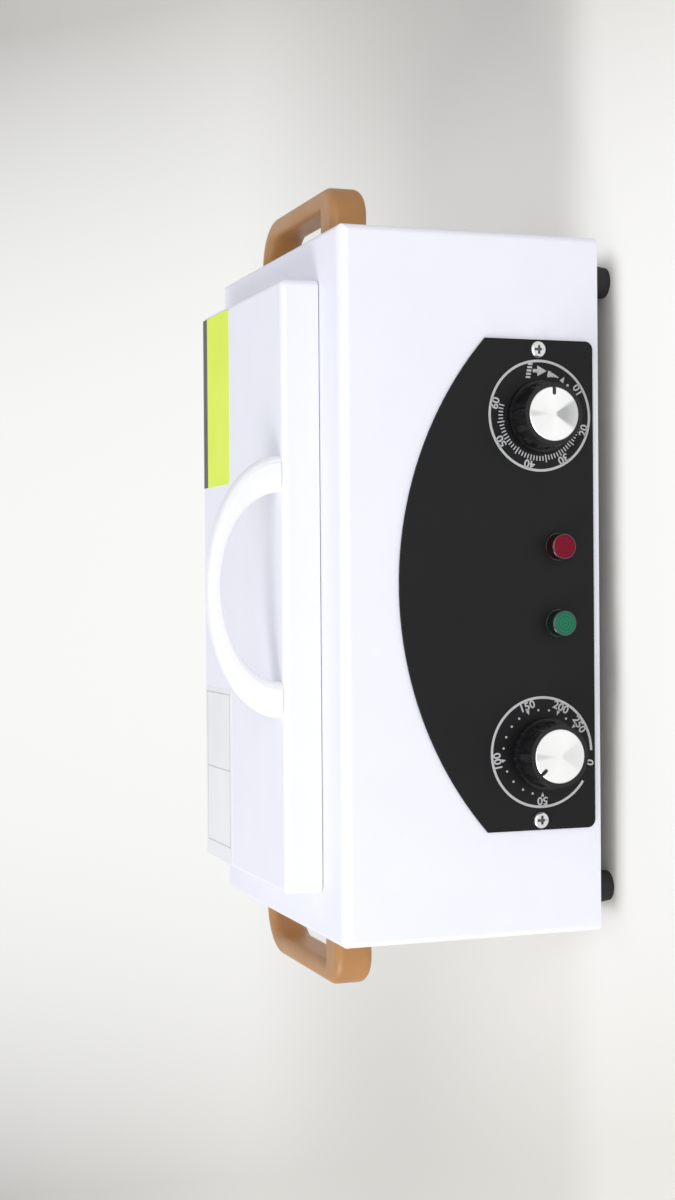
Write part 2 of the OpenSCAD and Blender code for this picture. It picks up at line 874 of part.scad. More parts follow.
// Shaft with a flat for its knob; gap is the knob's distance from the plate
module control_shaft(x, gap) {
  color("silver")
    facing_front(x, front_in_y, knob_z)
      difference() {
        translate([0, 0, -shaft_in + fit_gap])
          cylinder(h = shaft_in - fit_gap + sheet_t + plate_t + gap + hub_depth, r = shaft_d / 2);
        translate([-shaft_d, shaft_d / 2 - flat_cut, sheet_t + plate_t + fit_gap])
          cube([2 * shaft_d, shaft_d, gap + hub_depth]);
      }
}

hub_depth = knob_h - 4;
hub_r = shaft_d / 2 + 2.5;
wall_t = 2.6;

// Fluted knob with a skirt, a hollow back and a seat for its cap
module knob(x, gap, pointer) {
  color([0.1, 0.1, 0.11])
    facing_front(x, plate_y - gap, knob_z)
      rotate([0, 0, -pointer])
        difference() {
          union() {
            cylinder(h = skirt_t, r = skirt_d / 2);
            difference() {
              cylinder(h = knob_h, r1 = grip_d / 2, r2 = rim_d / 2);
              for (i = [0 : flute_count - 1])
                rotate([0, 0, (i + 0.5) * 360 / flute_count])
                  translate([grip_d / 2 + flute_r * 0.45, 0, skirt_t])
                    cylinder(h = knob_h, r = flute_r, $fn = 32);
            }
          }
          translate([0, 0, knob_h - (cap_t - cap_proud)])
            cylinder(h = cap_t, r = cap_d / 2 + running_gap);
          difference() {
            translate([0, 0, -over])
              cylinder(h = hub_depth + over, r = rim_d / 2 - wall_t - flute_r * 0.3);
            cylinder(h = hub_depth, r = hub_r);
          }
          translate([0, 0, -over])
            intersection() {
              cylinder(h = hub_depth + over + fit_gap, r = shaft_d / 2 + running_gap);
              rotate([0, 0, pointer])
                translate([-shaft_d, -shaft_d, 0])
                  cube([2 * shaft_d, 1.5 * shaft_d - flat_cut + running_gap, knob_h]);
            }
        }
}

// Turned metal cap with a pointer notch in its rim
module knob_cap(x, gap, pointer) {
  notch_w = 1.9;
  notch_len = 3.8;
  color("silver")
    facing_front(x, plate_y - gap - knob_h - cap_proud + cap_t, knob_z)
      rotate([0, 0, -pointer])
        difference() {
          union() {
            cylinder(h = cap_t - 0.35, r = cap_d / 2);
            translate([0, 0, cap_t - 0.35])
              cylinder(h = 0.35, r1 = cap_d / 2, r2 = cap_d / 2 - 0.35);
          }
          translate([0, cap_d / 2 - notch_len + notch_w / 2, -over])
            cylinder(h = cap_t + 2 * over, r = notch_w / 2);
          translate([-notch_w / 2, cap_d / 2 - notch_len + notch_w / 2, -over])
            cube([notch_w, notch_len, cap_t + 2 * over]);
        }
}

module temperature_knob() {
  knob(-knob_x, temperature_knob_gap, temperature_pointer);
}

module temperature_knob_cap() {
  knob_cap(-knob_x, temperature_knob_gap, temperature_pointer);
}

module timer_knob() {
  knob(knob_x, timer_knob_gap, timer_pointer);
}

module timer_knob_cap() {
  knob_cap(knob_x, timer_knob_gap, timer_pointer);
}

module control_nuts() {
  color("goldenrod")
    for (s = sides)
      for (t = sides)
        facing_rear(s * knob_x + t * stud_pitch / 2, front_in_y + control_plate_t, knob_z)
          hex_nut(nut_af, nut_t, stud_r + screw_gap);
}

lens_round = 1.2;
lens_flange_t = 1;
lens_seat = 2;

// Moulded lamp lens with a thin flange, a round front edge and a hollow back
module lamp_lens(x) {
  facing_front(x, plate_y, lamp_z)
    difference() {
      union() {
        cylinder(h = lens_flange_t, r = lens_d / 2 + 0.3);
        rotate_extrude() {
          square([lens_d / 2, lens_len - lens_round]);
          square([lens_d / 2 - lens_round, lens_len]);
          translate([lens_d / 2 - lens_round, lens_len - lens_round])
            intersection() {
              circle(lens_round);
              square(lens_round);
            }
        }
      }
      translate([0, 0, -over])
        cylinder(h = lens_seat + over, r = lamp_body_d / 2 - 0.5 + running_gap);
    }
}

module green_lamp_lens() {
  color([0.1, 0.5, 0.32])
    lamp_lens(-lamp_x);
}

module red_lamp_lens() {
  color([0.6, 0.08, 0.14])
    lamp_lens(lamp_x);
}

lamp_body_len = 20;

// Lamp body behind the plate, with a spigot for its lens and two terminals
module lamp_body(x) {
  color("black")
    facing_front(x, plate_y, lamp_z)
      union() {
        cylinder(h = lens_seat - fit_gap, r = lamp_body_d / 2 - 0.5);
        translate([0, 0, -lamp_body_len])
          cylinder(h = lamp_body_len, r = lamp_body_d / 2);
        for (s = sides)
          translate([s * 2.5, 0, -lamp_body_len - 3])
            cube([0.8, 3, 8], center = true);
      }
}

module green_lamp_body() {
  lamp_body(-lamp_x);
}

module red_lamp_body() {
  lamp_body(lamp_x);
}

// Push-on spring clips that hold the lamps behind the casing
module lamp_clips() {
  clip_t = 0.8;
  color("silver")
    for (s = sides)
      facing_rear(s * lamp_x, front_in_y, lamp_z)
        difference() {
          cylinder(h = clip_t, r = lamp_body_d / 2 + 3);
          translate([0, 0, -over])
            cylinder(h = clip_t + 2 * over, r = lamp_body_d / 2 + screw_gap);
        }
}

grip_rear_mid_r = grip_rear_r - grip_bar / 2;

// Section of a side handle, centred, of the width w seen from above
module grip_section(w) {
  rounded_rect(w, grip_bar_h, grip_edge_r);
}

// D-shaped handle on the right-hand side: a thick front leg, a bar and a rear leg
module side_handle() {
  x0 = casing_w / 2;
  x1 = x0 + grip_reach - grip_bar / 2;
  leg_y = front_y + grip_setback;
  y1 = leg_y + grip_len - grip_bar / 2;
  bend_x = x0 + grip_reach - grip_front_r;
  fill_w = grip_leg_w - grip_front_r + grip_edge_r + 0.6;
  difference() {
    union() {
      translate([x0, leg_y + grip_leg_w / 2, grip_z])
        rotate([90, 0, 90])
          linear_extrude(bend_x - x0)
            grip_section(grip_leg_w);
      translate([bend_x, leg_y + grip_leg_w - fill_w / 2, grip_z])
        rotate([90, 0, 90])
          linear_extrude(x1 - bend_x)
            grip_section(fill_w);
      translate([bend_x, leg_y + grip_front_r, grip_z])
        rotate([0, 0, -90])
          rotate_extrude(angle = 90)
            intersection() {
              grip_section(2 * grip_front_r);
              translate([0, -grip_bar_h])
                square([grip_front_r + over, 2 * grip_bar_h]);
            }
      translate([x1, y1 - grip_rear_mid_r, grip_z])
        rotate([90, 0, 0])
          linear_extrude(y1 - grip_rear_mid_r - leg_y - grip_front_r)
            grip_section(grip_bar);
      translate([x1 - grip_rear_mid_r, y1 - grip_rear_mid_r, grip_z])
        rotate_extrude(angle = 90)
          translate([grip_rear_mid_r, 0])
            grip_section(grip_bar);
      translate([x0, y1, grip_z])
        rotate([90, 0, 90])
          linear_extrude(x1 - grip_rear_mid_r - x0)
            grip_section(grip_bar);
    }
    for (y = grip_screw_y())
      translate([x0 - over, y, grip_z])
        rotate([0, 90, 0])
          cylinder(h = handle_screw_len - sheet_t + over, r = hole_r);
  }
}

module left_side_handle() {
  color("peru")
    mirror([1, 0, 0])
      side_handle();
}

module right_side_handle() {
  color("peru")
    side_handle();
}

module side_handle_screws() {
  color("silver")
    for (s = sides)
      grip_screw_places(s)
        pan_screw(handle_screw_len - fit_gap);
}

// Rubber foot with a counterbore for its screw
foot_web = 4;

module foot(sx, sy) {
  color([0.08, 0.08, 0.09])
    translate(concat(foot_place(sx, sy), 0))
      difference() {
        cylinder(h = foot_h, r1 = foot_end_d / 2, r2 = foot_d / 2);
        translate([0, 0, -over])
          cylinder(h = foot_h - foot_web + over, r = head_d / 2 + 0.6);
        translate([0, 0, -over])
          cylinder(h = foot_h + 2 * over, r = hole_r);
      }
}

module foot_screws() {
  color("silver")
    for (sx = sides)
      for (sy = sides)
        translate(concat(foot_place(sx, sy), foot_h - foot_web))
          mirror([0, 0, 1])
            pan_screw(foot_web + base_t + nut_t + 1);
}

module foot_nuts() {
  color("goldenrod")
    for (sx = sides)
      for (sy = sides)
        translate(concat(foot_place(sx, sy), pan_top_z))
          rotate([0, 0, 30])
            hex_nut(nut_af, nut_t, hole_r);
}

// Deep-drawn stainless tank with a flange on the casing's top
module inner_tank() {
  color("lightgray")
    translate([0, lid_y, 0])
      difference() {
        union() {
          translate([0, 0, tank_under_z])
            pan_solid(tank_out_w, tank_out_d, tank_h + tank_t, tank_corner_r + tank_t,
              tank_bottom_r + tank_t);
          translate([0, 0, top_z])
            rounded_slab(flange_out_w, flange_out_d, tank_t, tank_corner_r + tank_t + tank_flange);
        }
        translate([0, 0, tank_floor_z])
          pan_solid(tank_w, tank_d, tank_h + over, tank_corner_r, tank_bottom_r);
      }
}

tray_w = tank_w - 2 * (tray_gap + tray_rim);
tray_d = tank_d - 2 * (tray_gap + tray_rim);
tray_corner_r = tank_corner_r - tray_gap - tray_rim;
tray_bottom_r = 3;
tray_floor_z = tank_floor_z + tray_foot_h;
tray_foot_inset = 20;
hole_cols = floor((tray_w - 2 * tray_corner_r - tray_hole_d) / tray_pitch);
hole_rows = floor((tray_d - 2 * tray_bottom_r - 2 * tray_hole_d) / tray_pitch);
lip_w = 60;
lip_h = 14;

// Perforated instrument tray with pressed feet, a rim and a lifting lip at each end
module perforated_tray() {
  color("silver")
    translate([0, lid_y, tray_floor_z])
      difference() {
        union() {
          pan_solid(tray_w, tray_d, tray_h, tray_corner_r, tray_bottom_r);
          translate([0, 0, tray_h - tray_t])
            rounded_slab(tray_w + 2 * tray_rim, tray_d + 2 * tray_rim, tray_t,
              tray_corner_r + tray_rim);
          for (s = sides) {
            translate([s * (tray_w / 2 - tray_t / 2), 0, tray_h / 2 + lip_h / 2])
              cube([tray_t, lip_w, tray_h + lip_h], center = true);
            translate([s * (tray_w / 2 - tray_t / 2 - tray_rim), 0, tray_h + lip_h - tray_t / 2])
              cube([tray_t + 2 * tray_rim, lip_w, tray_t], center = true);
          }
          for (sx = sides)
            for (sy = sides)
              translate([sx * (tray_w / 2 - tray_foot_inset), sy * (tray_d / 2 - tray_foot_inset),
                -tray_foot_h])
                cylinder(h = tray_foot_h + tray_t / 2, r1 = 3, r2 = 5);
        }
        translate([0, 0, tray_t])
          pan_solid(tray_w - 2 * tray_t, tray_d - 2 * tray_t, tray_h + over,
            tray_corner_r - tray_t, tray_bottom_r - tray_t);
        for (i = [0 : hole_cols])
          for (j = [0 : hole_rows])
            translate([(i - hole_cols / 2) * tray_pitch, (j - hole_rows / 2) * tray_pitch, -over])
              cylinder(h = tray_t + 2 * over, r = tray_hole_d / 2, $fn = 24);
      }
}

// Open sheet box that holds the wool, hung under the casing's top
module insulation_jacket() {
  jacket_top_z = top_z - sheet_t;
  color("darkgray")
    difference() {
      translate([0, lid_y, 0])
        difference() {
          union() {
            translate([0, 0, jacket_floor_z])
              rounded_slab(jacket_w, jacket_d, jacket_top_z - jacket_floor_z, jacket_corner_r);
            translate([0, 0, jacket_top_z - jacket_t])
              rounded_slab(jacket_w + 2 * jacket_flange, jacket_d + 2 * jacket_flange, jacket_t,
                jacket_corner_r);
          }
          translate([0, 0, wool_floor_z])
            rounded_slab(jacket_w - 2 * jacket_t, jacket_d - 2 * jacket_t, casing_h,
              jacket_corner_r - jacket_t);
        }
      element_form(channel_gap);
      facing_front(cutout_x, lid_y - tank_out_d / 2, cutout_z)
        cylinder(h = wool_t + jacket_t + over, r = cutout_d / 2 + channel_gap);
      bulb_form(channel_gap);
    }
}

// Mineral wool that fills the jacket round the tank
module tank_insulation() {
  wool_top_z = top_z - sheet_t - fit_gap;
  color("khaki")
    difference() {
      translate([0, lid_y, 0])
        difference() {
          translate([0, 0, wool_floor_z])
            rounded_slab(jacket_w - 2 * (jacket_t + fit_gap), jacket_d - 2 * (jacket_t + fit_gap),
              wool_top_z - wool_floor_z, jacket_corner_r - jacket_t);
          translate([0, 0, tank_under_z - fit_gap])
            pan_solid(tank_out_w + 2 * fit_gap, tank_out_d + 2 * fit_gap, casing_h,
              tank_corner_r + tank_t + fit_gap, tank_bottom_r + tank_t);
          translate([0, 0, pocket_floor_z])
            rounded_slab(element_run + 2 * element_pitch, 4 * element_pitch,
              tank_under_z - pocket_floor_z, tank_bottom_r);
        }
      element_form(channel_gap);
      facing_front(cutout_x, lid_y - tank_out_d / 2 + tank_bottom_r, cutout_z)
        cylinder(h = wool_t + tank_bottom_r + over, r = cutout_d / 2 + channel_gap);
      bulb_form(channel_gap);
    }
}

element_x0 = -element_run / 2;
element_end_x = -jacket_w / 2 - 8;
run_y = [for (i = [0 : 3]) lid_y + (i - 1.5) * element_pitch];

// Tubular heating element in four runs, moved outwards by grow
module element_form(grow) {
  tube_r = element_d / 2 + grow;
  half_pitch = element_pitch / 2;
  for (i = [0 : 3])
    translate([i == 0 || i == 3 ? element_end_x : element_x0, run_y[i], element_z])
      rotate([0, 90, 0])
        cylinder(h = element_run / 2 - (i == 0 || i == 3 ? element_end_x : element_x0), r = tube_r);
  for (i = [0, 2])
    translate([element_run / 2, run_y[i] + half_pitch, element_z])
      rotate([0, 0, -90])
        rotate_extrude(angle = 180)
          translate([half_pitch, 0])
            circle(tube_r);
  translate([element_x0, run_y[1] + half_pitch, element_z])
    rotate([0, 0, 90])
      rotate_extrude(angle = 180)
        translate([half_pitch, 0])
          circle(tube_r);
}

module heating_element() {
  terminal_len = 6;
  color("dimgray") {
    element_form(0);
    for (i = [0, 3])
      translate([element_end_x - terminal_len, run_y[i], element_z])
        rotate([0, 90, 0])
          cylinder(h = terminal_len + 1, r = element_d / 4);
  }
}

// Spring straps that press the element's runs to the tank's floor
module element_saddles() {
  strap_w = 10;
  strap_d = 3 * element_pitch + 2 * element_d;
  color("silver")
    for (s = sides)
      difference() {
        translate([s * element_run / 4 - strap_w / 2, lid_y - strap_d / 2, strap_z - strap_t])
          cube([strap_w, strap_d, tank_under_z - strap_z + strap_t]);
        translate([s * element_run / 4 - strap_w / 2 - over, lid_y - strap_d / 2 + strap_t, strap_z])
          cube([strap_w + 2 * over, strap_d - 2 * strap_t, tank_under_z - strap_z + over]);
      }
}

// Bimetal safety cut-out on the tank's front wall
module thermal_cutout() {
  tab = [5, 8, 0.8];
  color("tan")
    facing_front(cutout_x, lid_y - tank_out_d / 2, cutout_z) {
      cylinder(h = cutout_len, r = cutout_d / 2);
      for (s = sides)
        translate([s * cutout_d / 4, 0, cutout_len])
          rotate([90, 0, 0])
            cube(tab, center = true);
    }
}

// Sheet cover of the lid, moved inwards by inset
module lid_form(inset) {
  translate([0, lid_y, lid_top_z - inset])
    mirror([0, 0, 1])
      pan_solid(lid_w - 2 * inset, lid_d - 2 * inset, lid_h - inset, lid_corner_r - inset,
        lid_edge_r - inset);
}

arch_screw_x = arch_w / 2 - arch_foot_w / 2;
arch_y = lid_front_y + arch_setback + arch_d / 2;
arch_screw_len = 11;

module lid_shell() {
  color("white")
    difference() {
      lid_form(0);
      lid_form(sheet_t);
      translate([0, lid_y, lid_z - over])
        rounded_slab(lid_w - 2 * sheet_t, lid_d - 2 * sheet_t, 2 * over, lid_corner_r - sheet_t);
      for (s = sides) {
        translate([s * arch_screw_x, arch_y, lid_top_z - sheet_t - over])
          cylinder(h = sheet_t + 2 * over, r = hole_r);
        for (t = sides)
          facing_rear(s * hinge_x + t * rivet_x, lid_rear_y - sheet_t - over, flap_rivet_z)
            cylinder(h = sheet_t + 2 * over, r = rivet_d / 2 + screw_gap);
      }
    }
}

liner_z = lid_z + liner_rise;
rivet_tail_r = rivet_d * 0.75;
liner_lip_h = flap_rivet_z - rivet_tail_r - fit_gap - liner_z;

// Stainless pan that closes the lid's underside, with an upturned edge
module lid_liner() {
  out = sheet_t + fit_gap;
  color("lightgray")
    translate([0, lid_y, liner_z])
      difference() {
        rounded_slab(lid_w - 2 * out, lid_d - 2 * out, liner_lip_h, lid_corner_r - out + fit_gap);
        translate([0, 0, liner_t])
          rounded_slab(lid_w - 2 * (out + liner_t), lid_d - 2 * (out + liner_t), liner_lip_h,
            lid_corner_r - out + fit_gap - liner_t);
      }
}

// Wool pad inside the lid
module lid_insulation() {
  out = sheet_t + 2 * fit_gap + liner_t;
  pad_z = liner_z + liner_t;
  color("khaki")
    difference() {
      translate([0, lid_y, pad_z])
        rounded_slab(lid_w - 2 * out, lid_d - 2 * out, lid_top_z - sheet_t - fit_gap - pad_z,
          lid_corner_r);
      for (s = sides) {
        translate([s * arch_screw_x, arch_y, lid_top_z - sheet_t - head_h - 1])
          cylinder(h = head_h + 1, r = head_d / 2 + 1);
        for (t = sides)
          facing_front(s * hinge_x + t * rivet_x, lid_rear_y - sheet_t, flap_rivet_z)
            cylinder(h = 3, r = rivet_d);
      }
    }
}

// Silicone ring between the liner and the tank's flange
module lid_seal() {
  seal_z = tank_top_z + seal_gap;
  inner_w = tank_out_w + 2;
  inner_d = tank_out_d + 2;
  color("brown")
    translate([0, lid_y, seal_z])
      difference() {
        rounded_slab(inner_w + 2 * seal_w, inner_d + 2 * seal_w, liner_z - seal_z,
          tank_corner_r + seal_w);
        translate([0, 0, -over])
          rounded_slab(inner_w, inner_d, liner_z - seal_z + 2 * over, tank_corner_r);
      }
}

// Lid handle: a loft of rounded sections between an outer and an inner half ellipse
arch_stations = 30;
arch_ring = 16;
arch_power = 0.62;

function soft(v) = sign(v) * pow(abs(v), arch_power);
function arch_outer(t) = [arch_w / 2 * cos(t), arch_h * sin(t)];
function arch_inner(t) = [(arch_w / 2 - arch_foot_w) * cos(t), (arch_h - arch_crown_t) * sin(t)];
function arch_point(t, a) = let (
    mid = (arch_outer(t) + arch_inner(t)) / 2,
    half = (arch_outer(t) - arch_inner(t)) / 2,
    p = mid + half * soft(cos(a))
  ) [p[0], arch_y + arch_d / 2 * soft(sin(a)), lid_top_z + p[1]];

module arch_solid() {
  points = [
    for (i = [0 : arch_stations])
      for (k = [0 : arch_ring - 1])
        arch_point(180 * i / arch_stations, 360 * k / arch_ring)
  ];
  walls = [
    for (i = [0 : arch_stations - 1])
      for (k = [0 : arch_ring - 1])
        let (a = i * arch_ring + k, b = i * arch_ring + (k + 1) % arch_ring)
          [a, b, b + arch_ring, a + arch_ring]
  ];
  first = [for (k = [0 : arch_ring - 1]) arch_ring - 1 - k];
  last = [for (k = [0 : arch_ring - 1]) arch_stations * arch_ring + k];
  polyhedron(points = points, faces = concat(walls, [first], [last]));
}

module lid_handle() {
  color("white")
    difference() {
      arch_solid();
      for (s = sides)
        translate([s * arch_screw_x, arch_y, lid_top_z - over])
          cylinder(h = arch_screw_len - sheet_t + over, r = hole_r, $fn = 24);
    }
}

module lid_handle_screws() {
  color("silver")
    for (s = sides)
      translate([s * arch_screw_x, arch_y, lid_top_z - sheet_t])
        mirror([0, 0, 1])
          pan_screw(arch_screw_len - fit_gap);
}

// Bore of a knuckle, along X
module knuckle_bore(gap) {
  rotate([0, 90, 0])
    cylinder(h = leaf_w + 2 * over, r = pin_d / 2 + gap, center = true);
}

// Hinge base: a leaf on the casing's top with two knuckles
module hinge_base(x) {
  color("silver")
    difference() {
      union() {
        for (s = sides)
          translate([x + s * (leaf_w - side_knuckle_w) / 2, hinge_y, hinge_z]) {
            rotate([0, 90, 0])
              cylinder(h = side_knuckle_w, r = knuckle_d / 2, center = true);
            translate([-side_knuckle_w / 2, 0, top_z - hinge_z])
              cube([side_knuckle_w, base_web_len, leaf_t + knuckle_gap]);
          }
        translate([x - leaf_w / 2, hinge_y + knuckle_d / 2 + knuckle_gap, top_z])
          cube([leaf_w, base_leaf_len - knuckle_d / 2 - knuckle_gap, leaf_t]);
      }
      translate([x, hinge_y, hinge_z])
        knuckle_bore(running_gap);
      for (t = sides)
        translate([x + t * rivet_x, base_rivet_y, top_z - over])
          cylinder(h = leaf_t + 2 * over, r = rivet_d / 2 + screw_gap);
    }
}

// Hinge flap: a leaf on the lid's rear wall with the middle knuckle
module hinge_flap(x) {
  color("silver")
    difference() {
      union() {
        translate([x, hinge_y, hinge_z])
          rotate([0, 90, 0])
            cylinder(h = mid_knuckle_w, r = knuckle_d / 2, center = true);
        translate([x - mid_knuckle_w / 2, lid_rear_y, hinge_z])
          cube([mid_knuckle_w, leaf_t + knuckle_gap, flap_web_len]);
        translate([x - leaf_w / 2, lid_rear_y, hinge_z + knuckle_d / 2 + knuckle_gap])
          cube([leaf_w, leaf_t, flap_len - knuckle_d / 2 - knuckle_gap]);
      }
      translate([x, hinge_y, hinge_z])
        knuckle_bore(running_gap);
      for (t = sides)
        facing_rear(x + t * rivet_x, lid_rear_y - over, flap_rivet_z)
          cylinder(h = leaf_t + 2 * over, r = rivet_d / 2 + screw_gap);
    }
}

module left_hinge_base() {
  hinge_base(-hinge_x);
}

module right_hinge_base() {
  hinge_base(hinge_x);
}

module left_hinge_flap() {
  hinge_flap(-hinge_x);
}

module right_hinge_flap() {
  hinge_flap(hinge_x);
}

module hinge_pins() {
  color("gray")
    for (s = sides)
      translate([s * hinge_x, hinge_y, hinge_z])
        rotate([0, 90, 0])
          cylinder(h = leaf_w, r = pin_d / 2, center = true);
}

module hinge_base_rivets() {
  color("silver")
    for (s = sides)
      for (t = sides)
        translate([s * hinge_x + t * rivet_x, base_rivet_y, top_z + leaf_t])
          rivet(leaf_t + sheet_t);
}

module hinge_flap_rivets() {
  color("silver")
    for (s = sides)
      for (t = sides)
        facing_rear(s * hinge_x + t * rivet_x, lid_rear_y + leaf_t, flap_rivet_z)
          rivet(leaf_t + sheet_t);
}

inlet_z = bottom_z + inlet_rise;
inlet_cut_w = 28;
inlet_cut_h = 21;
inlet_screw_pitch = 40;
inlet_screw_r = 1.5;
inlet_head_h = 1.4;
socket_w = 24.4;
socket_h = 16.8;
socket_len = 16;
blade_len = 14;

// Flanged power inlet with a socket that opens to the rear
module power_inlet() {
  color([0.12, 0.12, 0.13])
    facing_rear(inlet_x, rear_y + panel_t, inlet_z)
      difference() {
        union() {
          linear_extrude(inlet_t)
            rounded_rect(inlet_w, inlet_h, 5);
          translate([0, 0, -inlet_body_len])
            linear_extrude(inlet_body_len + inlet_t / 2)
              rounded_rect(inlet_cut_w - 2 * fit_gap, inlet_cut_h - 2 * fit_gap, 2);
        }
        translate([0, 0, inlet_t - socket_len])
          linear_extrude(socket_len + over)
            rounded_rect(socket_w, socket_h, 3);
        for (s = sides)
          translate([s * inlet_screw_pitch / 2, 0, -over]) {
            cylinder(h = inlet_t + 2 * over, r = inlet_screw_r + screw_gap);
            translate([0, 0, over + inlet_t - inlet_head_h])
              cylinder(h = inlet_head_h + over, r1 = inlet_screw_r + screw_gap,
                r2 = inlet_screw_r + screw_gap + inlet_head_h + over);
          }
        for (p = blade_places())
          translate([p[0], p[1], -inlet_body_len - over])
            linear_extrude(inlet_body_len + inlet_t)
              square([blade_w + fit_gap, blade_t + fit_gap], center = true);
      }
}

blade_w = 2;
blade_t = 4;
function blade_places() = [[-7, 2], [7, 2], [0, -2]];

// Three flat contact blades, with tails behind the inlet's body
module inlet_blades() {
  tail_len = 7;
  color("goldenrod")
    facing_rear(inlet_x, rear_y + panel_t, inlet_z)
      for (p = blade_places())
        translate([p[0], p[1], -inlet_body_len - tail_len])
          linear_extrude(inlet_body_len + tail_len + inlet_t - socket_len + blade_len)
            square([blade_w, blade_t], center = true);
}

module inlet_screws() {
  color("silver")
    for (s = sides)
      facing_rear(inlet_x + s * inlet_screw_pitch / 2, rear_y + panel_t + inlet_t, inlet_z)
        difference() {
          union() {
            translate([0, 0, -inlet_t - panel_t - 3])
              cylinder(h = inlet_t + panel_t + 3, r = inlet_screw_r);
            translate([0, 0, -inlet_head_h])
              cylinder(h = inlet_head_h, r1 = inlet_screw_r, r2 = inlet_screw_r + inlet_head_h);
          }
          for (size = [[3.4, 0.7, 1.6], [0.7, 3.4, 1.6]])
            cube(size, center = true);
        }
}

block_w = 34;
block_d = 20;
block_h = 16;
block_gap = 12;
function block_place() = [inlet_x - inlet_w - block_gap, rear_y - flange_w - block_d / 2 - 4];

// Ceramic terminal block on the base pan, with its screw
module terminal_block() {
  bore_r = 2;
  color("ivory")
    translate(concat(block_place(), pan_top_z))
      difference() {
        translate([-block_w / 2, -block_d / 2, 0])
          cube([block_w, block_d, block_h]);
        for (i = [-1, 1])
          translate([i * block_w / 4, 0, block_h / 2])
            rotate([90, 0, 0])
              cylinder(h = block_d + 2 * over, r = bore_r, center = true);
        translate([0, 0, -over])
          cylinder(h = block_h + 2 * over, r = hole_r);
      }
}

module terminal_block_screw() {
  color("silver")
    translate(concat(block_place(), pan_top_z + block_h))
      pan_screw(block_h + base_t + 1.5);
}

label_t = 0.15;
label_d = 50;
label_w = 93;
label_x = 101.5;
label_rear_gap = 2.5;

// Label on the lid's top, close to its rear edge
module label(x) {
  translate([x, lid_rear_y - label_rear_gap - label_d / 2, lid_top_z])
    rounded_slab(label_w, label_d, label_t, 1);
}

module yellow_label() {
  color([0.85, 0.92, 0.4])
    label(label_x);
}

module white_label() {
  color("white")
    label(-label_x);
}

outer_casing();
base_pan();
rear_panel();
rear_panel_screws();
base_pan_screws();
control_plate();
control_plate_screws();
temperature_control();
temperature_bulb();
control_shaft(-knob_x, temperature_knob_gap);  // temperature_shaft
temperature_knob();
temperature_knob_cap();
timer_unit();
control_shaft(knob_x, timer_knob_gap);  // timer_shaft
timer_knob();
timer_knob_cap();
control_nuts();
green_lamp_lens();
red_lamp_lens();
green_lamp_body();
red_lamp_body();
lamp_clips();
left_side_handle();
right_side_handle();
side_handle_screws();
foot(-1, -1);  // front_left_foot
foot(1, -1);  // front_right_foot
foot(-1, 1);  // rear_left_foot
foot(1, 1);  // rear_right_foot
foot_screws();
foot_nuts();
inner_tank();
perforated_tray();
insulation_jacket();
tank_insulation();
heating_element();
element_saddles();
thermal_cutout();
lid_shell();
lid_liner();
lid_insulation();
lid_seal();
lid_handle();
lid_handle_screws();
left_hinge_base();
right_hinge_base();
left_hinge_flap();
right_hinge_flap();
hinge_pins();
hinge_base_rivets();
hinge_flap_rivets();
power_inlet();
inlet_blades();
inlet_screws();
terminal_block();
terminal_block_screw();
yellow_label();
white_label();
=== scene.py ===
import json
import math

import bmesh
import bpy
from mathutils import Matrix, Vector


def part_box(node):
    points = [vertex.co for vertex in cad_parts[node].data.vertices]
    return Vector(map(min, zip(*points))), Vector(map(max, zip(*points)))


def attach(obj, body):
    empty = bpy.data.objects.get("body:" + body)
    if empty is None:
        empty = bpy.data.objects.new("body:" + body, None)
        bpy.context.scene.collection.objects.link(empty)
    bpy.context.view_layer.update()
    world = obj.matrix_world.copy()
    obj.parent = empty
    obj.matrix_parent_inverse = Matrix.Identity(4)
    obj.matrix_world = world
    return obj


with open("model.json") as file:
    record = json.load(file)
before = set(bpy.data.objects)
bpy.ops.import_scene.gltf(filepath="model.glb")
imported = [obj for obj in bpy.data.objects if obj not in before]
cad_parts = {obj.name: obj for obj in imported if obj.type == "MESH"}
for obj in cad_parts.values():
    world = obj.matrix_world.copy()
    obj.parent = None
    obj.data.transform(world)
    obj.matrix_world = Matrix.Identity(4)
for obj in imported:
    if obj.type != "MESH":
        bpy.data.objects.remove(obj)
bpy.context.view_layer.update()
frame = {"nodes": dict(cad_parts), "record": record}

MM, PER_METRE = 0.001, 1000.0
scene = bpy.context.scene
scene.view_settings.view_transform = "Standard"


def linear(r, g, b):
    """Colour as it looks on a screen, from 0 to 255, as the shader wants it."""
    def one(v):
        v /= 255
        return v / 12.92 if v <= 0.04045 else ((v + 0.055) / 1.055) ** 2.4
    return (one(r), one(g), one(b), 1.0)


# Shader effects that several finishes share
NOISE_LOW, NOISE_HIGH = 0.3, 0.7


def new_group(name, inputs, outputs):
    """Empty node group: inputs with their start values, and float outputs."""
    tree = bpy.data.node_groups.new(name, "ShaderNodeTree")
    for label, value in inputs.items():
        kind = "NodeSocketVector" if isinstance(value, tuple) else "NodeSocketFloat"
        tree.interface.new_socket(name=label, in_out="INPUT", socket_type=kind).default_value = value
    for label in outputs:
        tree.interface.new_socket(name=label, in_out="OUTPUT", socket_type="NodeSocketFloat")
    return tree, tree.nodes.new("NodeGroupInput").outputs, tree.nodes.new("NodeGroupOutput").inputs


def add(tree, kind, **settings):
    node = tree.nodes.new(kind)
    for key, value in settings.items():
        setattr(node, key, value)
    return node


def math_node(tree, operation, a, b=None, clamp=False):
    node = add(tree, "ShaderNodeMath", operation=operation, use_clamp=clamp)
    for socket, value in zip(node.inputs, (a, b)):
        if value is None:
            continue
        if isinstance(value, (int, float)):
            socket.default_value = value
        else:
            tree.links.new(value, socket)
    return node.outputs[0]


def product(tree, a, b):
    return math_node(tree, "MULTIPLY", a, b)


